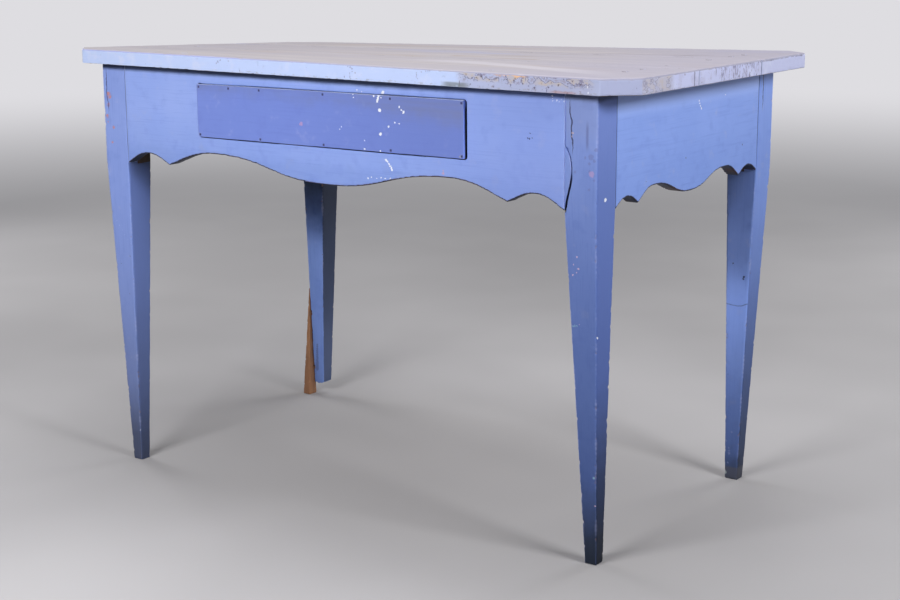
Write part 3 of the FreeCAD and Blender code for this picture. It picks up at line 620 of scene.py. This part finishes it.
def bare_wood(name, along, light, dark, ring=14.0, rough=0.62, shaded_front=-1.0):
    """Bare wood with growth rings drawn out along the grain, pores and old dirt. In front of the place
    given last, in metres, it carries painted shade, near black as the gap round the drawer looks, and is
    paint-blue at the top and left where the paint ran in."""
    look = Finish(name)
    place = look.place
    sway = cloud(place, 6.0, 2.0, along)
    rings = place.node("ShaderNodeTexWave", {"wave_type": "RINGS", "rings_direction": "X"},
                       {"Vector": place.node("ShaderNodeMapping", {}, {"Vector": place, "Scale": along}),
                        "Scale": ring, "Distortion": 9.0, "Detail": 3.0, "Detail Scale": 1.6})
    fibre = cloud(place, 420.0, 3.0, along)
    dirt = cloud(place, 16.0, 4.0)
    colour = tint(light, dark, between(rings, 0.25, 0.95) * 0.5)
    colour = tint(colour, dark, between(fibre, 0.45, 0.75) * 0.45)
    colour = tint(colour, pigment(70, 56, 48), between(dirt, 0.5, 0.75) * 0.4)
    colour = tint(colour, light, between(sway, 0.6, 0.8) * 0.2)
    colour = tint(colour, pigment(96, 76, 60), between(look.arris, 0.85, 1.0) * 0.35)
    # Painted shade on the drawer front's edges that show in the gap, blue where the paint ran in.
    gap_shade_and_paint = tint(pigment(28, 33, 52), pigment(96, 112, 170), opening_rim(look))
    colour = tint(colour, gap_shade_and_paint, between(look.y, shaded_front + 0.002, shaded_front) * 0.95)
    return look.wear(colour, rough + 0.2 * fibre - 0.1 * rings, fibre * 0.5 + rings * 0.25, 0.35 * mm)


splint_wedge = worked("back_left_leg_splint", "splint_wedge", cell=1.4 * mm, wave=0.9 * mm,
                      knock=2.2 * mm)
fit(splint_wedge, "back_left_leg_splint", "frame", bare_wood(
    "riven softwood", upright, pigment(168, 122, 88), pigment(122, 84, 62)))

# --- Aprons -----------------------------------------------
# Four softwood boards with scalloped lower edges, sawn from one pattern to a side, tenoned and
# pegged into the legs. The front one has the opening for the drawer cut through it.

apron_cell = 2.1 * mm
level_x = (0.035, 1, 1)
level_y = (1, 0.035, 1)
apron_splash = [(122.8, 609.7, 2.0), (126, 607.5, 1.9), (129, 604, 1.6), (131.5, 601, 1.5),
                (133.5, 598, 1.8), (134.5, 595, 2.0), (87, 578, 1.4), (94, 580, 1.0),
                (104, 579, 1.0), (113, 580.5, 1.3), (121, 580, 1.1), (131, 581, 1.0)]
apron_dark = [(388, 663, 1.4), (391, 662.5, 1.5), (395, 663.5, 1.2), (392, 671, 1.0)]
apron_pink = [(233.6, 597.5, 2.2), (234.5, 601.5, 1.2)]
apron_drip = [(430, 728, 1.2), (430.5, 724, 1.0), (431, 720, 0.9), (438, 722, 1.3),
              (442, 720, 1.0), (450, 721, 1.2), (446, 724, 0.8)]
side_white = [(19, 698, 1.6), (21.5, 694, 1.5), (24.5, 690, 1.6), (28, 685, 1.9),
              (113, 700, 1.3)]
side_dots = [(-21, 612, 1.4), (182, 611, 1.5), (265, 656, 1.4)]


def sawn_edge(look):
    """The worn line along a scalloped edge, where brown wood shows."""
    broken = between(cloud(look.place, 30.0, 3.0), 0.3, 0.6)
    return between(look.arris, 0.62, 0.86) * (look.z < 0.602) * broken


def sawn_under(look):
    """The sawn edge itself, which the brush never reached: bare wood, darkened to near black as painted
    shade.
    """
    return between(look.fz * -1, 0.2, 0.42) * (look.z < 0.612) * 0.95


def sawn_brown(look):
    """Patches of the sawn edge where the wood is still brown."""
    return sawn_under(look) * between(cloud(look.place, 14.0, 3.0), 0.52, 0.62) * 0.7


def shaded_reveal(look):
    """Painted shade on the cut faces of the drawer's opening: near black, as the gap round the drawer looks.
    """
    cut = between(look.fy * look.fy, 0.7, 0.4) * (look.z > opening_z[0]) * (look.z < opening_z[1])
    return cut * ((look.x * look.x) < opening_x ** 2) * 0.95


def painted_reveal(look):
    """The top and the left end of that opening, where the paint ran in."""
    return shaded_reveal(look) * opening_rim(look)


def painted_light_under_top(look):
    """Painted light on the strip of a side apron just under the top, lifting the shade that the top casts.
    """
    return between(look.z, 0.686, 0.716) * between(look.fx, 0.5, 0.8) * 0.75


def right_painted_shade(look):
    """Painted shade: the right end of the front apron a little darker than the rest, as light falls off
    there.
    """
    return between(look.x, 0.12, 0.42) * between(look.fy * -1, 0.4, 0.7) * 0.45


apron_soil = [(555, 0.77), (585, 0.81), (600, 0.90), (660, 1.0)]
side_soil = [(555, 0.84), (600, 0.88), (650, 0.96), (700, 1.0)]
edge_brown = (92, 80, 98)
# Near black for the sawn edges: bare wood and painted shade.
under_bare_and_shaded = (26, 28, 38)
under_brown = (72, 48, 44)
top_splashes = [(66.6, 717.1, 1.3), (76, 715, 1.0), (118.9, 716.4, 2.6), (116.3, 714, 1.8)]
front_paint = old_paint("paint on the front apron", level_x, soil_and_shade=apron_soil, extra=[
    # Painted shade on the right end of the front apron.
    (right_painted_shade, (118, 138, 206)),
    (at(apron_splash, front), white_paint), (at(top_splashes, front), white_paint),
    (at(apron_dark, front), (58, 66, 112)),
    (at(apron_pink, front, 0.6), chip_pink), (at(apron_drip, front, 0.6), white_paint),
    (joint_line("x", -452, 0.55), joint_painted_light), (joint_line("x", 452, 0.7), joint_painted_light),
    (sawn_edge, edge_brown), (sawn_under, under_bare_and_shaded), (sawn_brown, under_brown),
    # Painted shade in the drawer's opening; paint-blue at its top and left end, where the paint ran in.
    (shaded_reveal, (26, 32, 54)), (painted_reveal, (100, 117, 180)), (split_shadow, split_shade)])
side_paint = old_paint(
    "paint on the side aprons", level_y, pigment(132, 160, 231), pigment(107, 133, 208),
    pigment(141, 168, 237), side_soil, extra=[
        # Painted light just under the top on the side aprons.
        (painted_light_under_top, (166, 190, 252)), (at(side_white, sideways), white_paint),
        (at(side_dots, sideways), (60, 62, 84)), (joint_line("y", -241, 0.8), joint_dirt),
        (sawn_edge, edge_brown), (sawn_under, under_bare_and_shaded), (sawn_brown, under_brown)])
end_shaving = (-0.8 * mm, 0, 0)
corner_shaving = (-0.4 * mm, 0, 0.9 * mm)


def ease_opening(apron):
    """Pares the left end of the drawer's opening and its upper corner there by a shaving, so that the
    drawer runs clear."""
    where = points_of(apron)
    x, z = where[:, 0], where[:, 2]
    left_end = (abs(x + 276.1 * mm) < 2.6 * mm) & (z > opening_z[0]) & (z < opening_z[1])
    upper_corner = (abs(x + 275.0 * mm) < 3.2 * mm) & (z > 0.7050) & (z < 0.7112)
    for chosen, shaving in ((left_end, end_shaving), (upper_corner, corner_shaving)):
        pick(apron)
        bpy.ops.object.mode_set(mode="EDIT")
        bpy.ops.mesh.select_mode(type="VERT")
        bpy.ops.mesh.select_all(action="DESELECT")
        bpy.ops.object.mode_set(mode="OBJECT")
        apron.data.vertices.foreach_set("select", chosen)
        bpy.ops.object.mode_set(mode="EDIT")
        bpy.ops.transform.translate(value=shaving)
        bpy.ops.object.mode_set(mode="OBJECT")


for node, finish in (("front_apron", front_paint), ("back_apron", front_paint),
                     ("left_apron", side_paint), ("right_apron", side_paint)):
    apron = worked(node, "scalloped_" + node, cell=apron_cell, knock=1.2 * mm)
    if node == "front_apron":
        ease_opening(apron)
    fit(apron, node, "frame", finish)

# --- Pegs, glue blocks and drawer bearers -----------------
# Plain sawn softwood inside the frame: split pegs through the tenons, blocks glued under the top, and
# the runners, guides, kickers and stops that carry the drawer. None of it was painted.

sawn_light, sawn_dark = pigment(150, 120, 92), pigment(104, 80, 60)


def dress(finish, nodes):
    """Gives the blanks that stay as they are their finish."""
    for node in nodes:
        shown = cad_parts[node]
        for slot in shown.material_slots:
            slot.material = finish


dress(bare_wood("sawn softwood, front to back", level_y, sawn_light, sawn_dark),
      ("left_runner", "right_runner", "left_guide", "right_guide", "left_kicker", "right_kicker"))
dress(bare_wood("sawn softwood, across", level_x, sawn_light, sawn_dark),
      ("frame_pegs", "glue_blocks", "drawer_stops"))

# --- Drawer -----------------------------------------------
# One long shallow drawer. Its sides are dovetailed to the front and back, and its bottom boards slide
# in grooves. A thin board, painted a deeper blue, is nailed over the front.

panel_blue = pigment(115, 135, 209)
panel_grey = (114, 124, 171)
splashes = [(66.6, 717.1, 1.3), (62.4, 710, 1.3), (75.3, 713, 1.0), (118.9, 716, 2.6),
            (116.3, 713, 2.2), (113, 711, 2.2), (112, 707.5, 2.2), (111, 704, 2.2),
            (110.6, 701.5, 1.7), (103.8, 709.8, 1.9), (118.2, 707.5, 0.9), (115.3, 688.2, 2.7),
            (116.4, 651.3, 2.8), (132.3, 663, 1.8), (154, 696, 1.7), (158, 691, 1.6),
            (161.5, 688, 2.1), (144.4, 670.8, 1.5), (153, 669.8, 1.2), (115.4, 623.9, 1.3),
            (63, 705, 1.0), (38, 657, 1.2), (34.4, 653, 0.9), (84.6, 638, 1.2),
            (83.8, 625.2, 1.5)]
board_blush = [(-45.4, 656.4, 3.2), (-48.5, 655.6, 1.8)]
board_knock = [(270, 627, 3.0)]


def weathered(look):
    """Grey weathering along the top of the nailed board, deeper towards its right end."""
    height = look.z - 0.0105 * look.x + 0.030 * between(look.x, 0.0, 0.25)
    high = between(height + (cloud(look.place, 30.0, 5.0) - 0.5) * 0.05, 0.680, 0.724)
    streak = between(cloud(look.place, 60.0, 4.0, level_x), 0.36, 0.66)
    return high * (0.4 + 0.5 * streak)


def board_under(look):
    """The nailed board's lower edge, in a slightly darker blue."""
    return between(look.fz * -1, 0.5, 0.8) * 0.95


def board_end_painted_light(look):
    """Painted light on the nailed board's right end, which stands in shade: a brighter blue."""
    return between(look.fx, 0.4, 0.7) * 0.95


def board_top_painted_light(look):
    """Painted light on the nailed board's upper edge, which the top shades: a pale blue."""
    return between(look.fz, 0.45, 0.7) * 0.9


def deeper(look):
    """The board's right half, where the paint has kept more of its depth."""
    return between(look.x, -0.15, 0.25) * 0.62


panel_paint = old_paint(
    "paint on the nailed board", level_x, panel_blue, pigment(104, 121, 198), pigment(120, 139, 210),
    chipped=0.0, extra=[
        (deeper, (102, 120, 190)), (weathered, panel_grey), (at(splashes, front, 0.95), white_paint),
        (at(board_blush, front, 0.6), (190, 150, 186)),
        (at(board_knock, front, 0.7), (150, 150, 160)),
        # The board's edges: the lower one a slightly darker blue, the right end and the upper one painted
        # light.
        (board_under, (104, 122, 190)), (board_end_painted_light, (140, 166, 250)),
        (board_top_painted_light, (206, 218, 250))])

# The board reaches 0.8 mm higher and 0.8 mm further to the left than its blank.
board_growth = (1.0014, 1.0, 1.0085)
nailed_board = worked("drawer_facing", "nailed_board", cell=1.25 * mm, wave=0.15 * mm, knock=0.2 * mm)
low_corner, high_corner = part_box("drawer_facing")
pick(nailed_board)
bpy.ops.object.mode_set(mode="EDIT")
bpy.ops.mesh.select_all(action="SELECT")
bpy.ops.transform.resize(value=board_growth, center_override=(high_corner[0], 0.0, low_corner[2]))
bpy.ops.object.mode_set(mode="OBJECT")
fit(nailed_board, "drawer_facing", "drawer", panel_paint)

pine_light, pine_dark = pigment(166, 136, 104), pigment(120, 94, 70)
# In front of this place the drawer front carries painted shade, where it shows in the gap.
gap_shade_reach = -0.288
dress(bare_wood("drawer softwood, across", level_x, pine_light, pine_dark),
      ("drawer_back", "drawer_bottom_front", "drawer_bottom_rear"))
dress(bare_wood("drawer softwood behind the nailed board", level_x, pine_light, pine_dark,
                shaded_front=gap_shade_reach), ("drawer_front",))
dress(bare_wood("drawer softwood, front to back", level_y, pine_light, pine_dark),
      ("drawer_left_side", "drawer_right_side"))

# --- Nails ------------------------------------------------
# Cut iron nails, square in section, long since gone to brown rust and black scale, and in places
# still blue from the brush.


def rusty_iron(name, scale, rust):
    """Iron under scale, with rust blooming over it that is rougher and less like metal."""
    look = Finish(name)
    bloom = cloud(look.place, 500.0, 4.0)
    colour = tint(scale, rust, between(bloom, 0.45, 0.65))
    look.tree.links.new((0.7 - 0.5 * bloom).socket, look.shader.inputs["Metallic"])
    return look.wear(colour, 0.5 + 0.4 * bloom, bloom, 0.2 * mm)


dress(rusty_iron("rusty iron", pigment(44, 40, 46), pigment(94, 62, 46)), ("splint_nails", "bottom_nails"))
dress(rusty_iron("iron blue from the brush", pigment(58, 66, 114), pigment(88, 84, 122)), ("facing_nails",))

# --- Top --------------------------------------------------
# Three planed boards laid edge to edge, with clipped corners. The paint has been scrubbed off the
# upper side, which is grey and streaked, and is chipped back to the ground along the edges.

top_cell = 2.5 * mm


def upright_line(look, place, width, share):
    """A dark upright line on the right edge, at place along it in mm, a little ragged."""
    off = look.y - place * mm + (cloud(look.place, 190.0, 3.0) - 0.5) * 0.003
    return between(off * off, (width * mm) ** 2, (0.4 * width * mm) ** 2) * share


edge_marks = [(-203, 751.5, 2.2), (-207, 748.5, 1.4), (-198, 754, 1.2), (-180, 753.5, 1.2),
              (72, 756, 1.2), (76, 755, 1.8), (80, 753, 1.8), (80.5, 748, 1.3),
              (86, 747.5, 1.4), (205, 753, 1.3), (205, 750, 1.3), (205, 747, 1.2),
              (206, 744, 1.2), (214, 755, 1.3), (222, 755.5, 1.2), (230, 757, 1.2),
              (480, 748, 1.8), (485, 749, 1.8), (491, 748.5, 1.5), (478, 744, 1.5),
              (496, 746.5, 1.8), (499, 744, 1.2)]
corner_drops = [(505, 747, 1.4), (507, 739, 1.8)]
edge_dirt = (84, 84, 112)
rim_height = (0.7545, 0.7572)
along_x, streaks_x = (0.05, 1, 1), (0.03, 1, 1)


def layered(colour, *layers):
    """The colour with layers laid over it in turn, each (its 0-255 screen values, its share)."""
    for screen, share in layers:
        colour = tint(colour, pigment(*screen), share)
    return colour


def scrubbed_face(look, streak, fibre):
    """The upper side: grey wood with paint left in its hollows, a pale worn path near the front right
    corner, dark slivers and a brown stain."""
    place = look.place
    band = cloud(place, 16.0, 3.0, along_x)
    patch = cloud(place, 7.0, 4.0, (0.35, 1, 1))
    off = look.y + 0.165 + (0.3 * (look.x - 0.2) | 0.0)
    worn_path = between(off * off, 0.030 ** 2, 0.006 ** 2) * between(look.x, 0.02, 0.18)
    worn_path = worn_path * (0.05 + 0.85 * streak) * between(look.x, 0.56, 0.36)
    sliver = between(cloud(place, 70.0, 3.0, along_x), 0.60, 0.66) * stretch_of(look.y, 40, 220)
    stain = between(cloud(place, 40.0, 4.0, (0.12, 1, 1)), 0.48, 0.62) * stretch_of(look.x, 70, 250)
    return layered(
        pigment(191, 185, 193),
        ((205, 198, 200), between(band, 0.45, 0.7) * 0.8),
        ((166, 160, 170), between(streak, 0.5, 0.75) * 0.7),
        ((194, 178, 166), between(patch, 0.55, 0.72) * 0.45),
        ((178, 180, 210), between(patch, 0.44, 0.3) * 0.6),
        ((150, 142, 148), between(fibre, 0.55, 0.8) * 0.3),
        ((182, 178, 200), between(look.x, 0.15, 0.5) * (0.35 + 0.3 * band)),
        ((220, 216, 226), worn_path),
        ((140, 130, 136), sliver * between(look.x, 0.1, 0.25) * 0.6),
        ((168, 148, 136), stain * stretch_of(look.y, -60, 30) * 0.6))


def chipped_sides(look, fine_chips, cracks):
    """The edges: pale blue paint, flaked to the wood towards the front right corner, with flecks, pits,
    cracks, splashes and dirt."""
    place = look.place
    front_edge = between(look.fy * -1, 0.85, 0.95)
    right_edge = between(look.fx, 0.85, 0.95)
    clipped = between(look.fx * look.fy * -1, 0.3, 0.42)
    flecks = cloud(place, 190.0, 4.0, (0.6, 0.6, 1))
    flakes = cloud(place, 52.0, 4.0)
    islands = cloud(place, 72.0, 5.0, (0.6, 0.6, 1))
    rag = (fine_chips - 0.5) * 0.012
    fine_rag = (fine_chips - 0.5) * 0.004
    low = between(look.z, 0.752, 0.742)
    high = between(look.z + (flakes - 0.5) * 0.012, 0.743, 0.749)
    front_chips = stretch_of(look.x, 283, 512) * front_edge
    end_chips = stretch_of(look.y, -285, -192) * right_edge * (0.35 + 0.5 * cloud(place, 60.0, 4.0))
    flaked = front_chips * high | end_chips
    chipped = front_chips | end_chips | stretch_of(look.y, -192, -20) * right_edge * 0.6
    cracked = stretch_of(look.y, -40, 105) * right_edge
    rubbed = stretch_of(look.y, -192, 105) * right_edge * between(cloud(place, 44.0, 5.0), 0.52, 0.56)
    bits = between(fine_chips, 0.49, 0.55)
    brink = islands - 0.485
    rim_low = between(look.z + fine_rag, 0.7400, 0.7375) * front_edge
    grimy = rim_low * between(flecks, 0.52, 0.60) * between(look.x, -0.26, -0.1)
    dark_foot = stretch_of(look.x, 255, 298) * between(look.z, 0.7435, 0.7405) * front_edge
    rim = between(look.z + fine_rag, *rim_height) * between(look.y, -0.02, 0.09) * right_edge
    return layered(
        pigment(184, 200, 238),
        ((168, 176, 208), between(look.x, 0.3, 0.46)),
        ((196, 200, 236), right_edge * 0.7),
        ((204, 210, 236), between(cloud(place, 34.0, 3.0), 0.5, 0.7) * 0.5),
        ((160, 166, 198), clipped * 0.9),
        ((162, 166, 196), front_chips * 0.7),
        ((164, 162, 174), end_chips * 0.8),
        ((188, 172, 152), flaked * between(islands, 0.49, 0.54) * (0.4 + 0.35 * bits)),
        ((146, 138, 156), flaked * between(islands, 0.43, 0.38) * 0.65),
        ((108, 98, 116), flaked * between(brink * brink, 0.026 ** 2, 0.010 ** 2) * 0.75),
        ((178, 180, 212), rubbed * 0.6),
        ((134, 128, 156), between(flecks + 0.10 * chipped, 0.70, 0.74) * 0.7),
        ((88, 80, 100), between(fine_chips + 0.09 * chipped + 0.05 * flaked, 0.75, 0.79) * 0.8),
        ((112, 108, 142), between(cracks + 0.17 * cracked + 0.05 * chipped, 0.71, 0.75) * 0.8),
        ((140, 140, 160), specks(place, 90.0, 0.9 * mm) * low * 0.7),
        ((150, 148, 156), grimy * 0.45),
        ((112, 118, 118), dark_foot * between(flakes, 0.36, 0.5) * 0.75),
        ((168, 118, 104), stretch_of(look.x, 445, 485) * rim_low * 0.5),
        ((142, 146, 182), marks(place, front, edge_marks) * front_edge * 0.7),
        ((226, 176, 128), stretch_of(look.x, 350, 400) * front_edge * between(look.z + rag, *rim_height)),
        (edge_dirt, upright_line(look, -122, 1.6, 0.8) * right_edge),
        (edge_dirt, upright_line(look, -51, 1.6, 0.8) * right_edge * (1 - low)),
        ((98, 92, 114), rim * between(flakes, 0.38, 0.5) * 0.8),
        (white_paint, marks(place, front, corner_drops) * front_edge * 0.55))


def scrubbed_top():
    """The finish of the whole top: scrubbed above, painted at the edges, bare and brown below and where
    the boards meet."""
    look = Finish("scrubbed top")
    place = look.place
    upper = between(look.fz, 0.55, 0.8)
    under = between(look.fz * -1, 0.55, 0.8)
    streak = cloud(place, 95.0, 4.0, streaks_x)
    fibre = cloud(place, 520.0, 2.0, streaks_x)
    fine_chips = cloud(place, 150.0, 5.0)
    cracks = cloud(place, 210.0, 4.0, (1.3, 1.3, 0.45))
    edge_on = between(look.fy, 0.2, 0.35) | between(look.fy * -1, 0.2, 0.35)
    meeting = edge_on * stretch_of(look.y, -270, 270) * between(look.x * look.x, 0.56 ** 2, 0.55 ** 2)
    side = tint(chipped_sides(look, fine_chips, cracks), pigment(84, 76, 78), meeting * 0.9)
    planed = between(cloud(place, 60.0, 4.0, level_x), 0.4, 0.7)
    belly = tint(pigment(120, 98, 80), pigment(84, 68, 58), planed)
    colour = tint(side, scrubbed_face(look, streak, fibre), upper)
    colour = tint(colour, belly, under)
    worn = between(look.arris + (cloud(place, 40.0, 4.0) - 0.5) * 1.2, 0.92, 1.15)
    colour = tint(colour, pigment(172, 170, 192), worn * 0.5 * (1 - under))
    # Painted shade on the bevel along the top's edges, darker than the edge paint, as the bevel catches more
    # light.
    bevel = between(look.fz, 0.2, 0.4) * between(look.fz, 0.93, 0.85)
    bevel_painted_shade = tint(pigment(156, 162, 214), pigment(150, 148, 170), between(look.x, -0.3, 0.2))
    colour = tint(colour, bevel_painted_shade, bevel * 0.75 * (1 - meeting))
    colour = tint(colour, pigment(112, 102, 104), bevel * meeting * 0.8)
    colour = tint(colour, pigment(138, 126, 128), between(look.bite, 0.6 * mm, 1.0 * mm) * 0.4)
    seam = upright_line(look, 110.8, 5.0, 0.95) * between(look.x, 0.576, 0.582) * (1 - upper)
    colour = tint(colour, pigment(34, 40, 70), seam)
    relief = streak * 0.5 + fibre * 0.25 - between(fine_chips | cracks, 0.66, 0.72) * (1 - upper) * 0.7
    return look.wear(colour, 0.5 + 0.25 * streak, relief, 0.6 * mm, 0.03)


top_finish = scrubbed_top()
for plank in ("front", "middle", "rear"):
    node = "top_board_" + plank
    board = worked(node, "top_plank_" + plank, cell=top_cell, wave=0.5 * mm, knock=1.1 * mm)
    fit(board, node, "frame", top_finish)
dress(top_finish, ("top_nails",))

# --- Room: floor, lamps and camera ------------------------
# A plain pale floor that fades to a lighter grey far off. One soft lamp stands in front, half a metre
# and a little more above the table, one to the right, one hangs overhead, and two weak ones fill in
# behind and at the left.

haze_from, haze_full = 0.9, 7.5
pale_haze = pigment(222, 221, 225)

bpy.ops.object.select_all(action="DESELECT")
bpy.ops.mesh.primitive_plane_add(size=80, location=(0, 0, 0))
floor = bpy.context.object
floor.name = "floor"
floor_look = Finish("pale floor")
floor_tree = floor_look.tree
floor_grain = cloud(floor_look.place, 160.0, 2.0)
floor_patch = between(cloud(floor_look.place, 1.5, 2.0), 0.3, 0.7)
floor_tone = tint(pigment(184, 182, 184), pigment(176, 174, 176), floor_patch)
floor.data.materials.append(floor_look.wear(floor_tone, 0.8 + 0.1 * floor_grain, floor_grain, 0.05 * mm))
away = floor_look.place.node("ShaderNodeVectorMath", {"operation": "LENGTH"}, {0: floor_look.place}, "Value")
seen = Tone(floor_tree).node("ShaderNodeLightPath", out="Is Camera Ray")
mirrored = Tone(floor_tree).node("ShaderNodeLightPath", out="Is Glossy Ray")
haze = away.node("ShaderNodeEmission", {}, {"Color": pale_haze})
far_off = between(away, haze_from, haze_full) * (seen | mirrored)
blend = away.node("ShaderNodeMixShader", {},
                  {0: far_off, 1: Tone(floor_tree, floor_look.shader.outputs[0]), 2: haze})
floor_tree.links.new(blend.socket, floor_tree.nodes["Material Output"].inputs["Surface"])


def soft_lamp(name, place, aim, width, height, power):
    """A rectangular lamp at place, turned to the table's middle at the height aim, in metres and watts."""
    lamp = bpy.data.lights.new(name, "AREA")
    lamp.shape = "RECTANGLE"
    lamp.size = width
    lamp.size_y = height
    lamp.energy = power
    stand = bpy.data.objects.new(name, lamp)
    stand.location = place
    stand.rotation_euler = (Vector((0.0, 0.0, aim)) - Vector(place)).to_track_quat("-Z", "Y").to_euler()
    bpy.context.scene.collection.objects.link(stand)


soft_lamp("front lamp", (-0.05, -2.1, 1.32), 0.66, 0.9, 0.28, 34.0)
soft_lamp("side lamp", (2.7, -0.5, 1.65), 0.66, 0.8, 0.6, 47.0)
soft_lamp("overhead lamp", (-0.2, 0.3, 3.0), 0.7, 1.6, 1.6, 38.0)
soft_lamp("rear lamp", (0.9, 2.9, 1.15), 0.45, 1.2, 0.6, 24.0)
soft_lamp("left lamp", (-2.9, 0.5, 1.15), 0.45, 1.0, 0.6, 20.0)

# The air gives a faint cool light, and is seen as the same pale grey as the far floor.
world = bpy.data.worlds.new("room")
bpy.context.scene.world = world
world.use_nodes = True
air = world.node_tree
sky = air.nodes["Background"]
sky.inputs["Color"].default_value = (0.93, 0.95, 1.0, 1.0)
sky.inputs["Strength"].default_value = 0.08
straight_on = Tone(air).node("ShaderNodeLightPath", out="Is Camera Ray")
backdrop = Tone(air).node("ShaderNodeBackground", {}, {"Color": pale_haze})
shown_sky = Tone(air).node("ShaderNodeMixShader", {},
                           {0: straight_on, 1: Tone(air, sky.outputs[0]), 2: backdrop})
air.links.new(shown_sky.socket, air.nodes["World Output"].inputs["Surface"])

camera_dip, camera_bearing, camera_roll = 0.2209, 0.6156, -0.0026
lens = bpy.data.cameras.new("camera")
lens.sensor_width = 36.0
lens.lens = 67.4336
camera = bpy.data.objects.new("camera", lens)
camera.location = (1.7311, -2.3963, 0.9767)
level_turn = Euler((math.pi / 2 - camera_dip, 0.0, camera_bearing)).to_matrix()
camera.rotation_euler = (level_turn @ Matrix.Rotation(camera_roll, 3, "Z")).to_euler()
bpy.context.scene.collection.objects.link(camera)
bpy.context.scene.camera = camera
bpy.context.scene.view_settings.view_transform = "Standard"
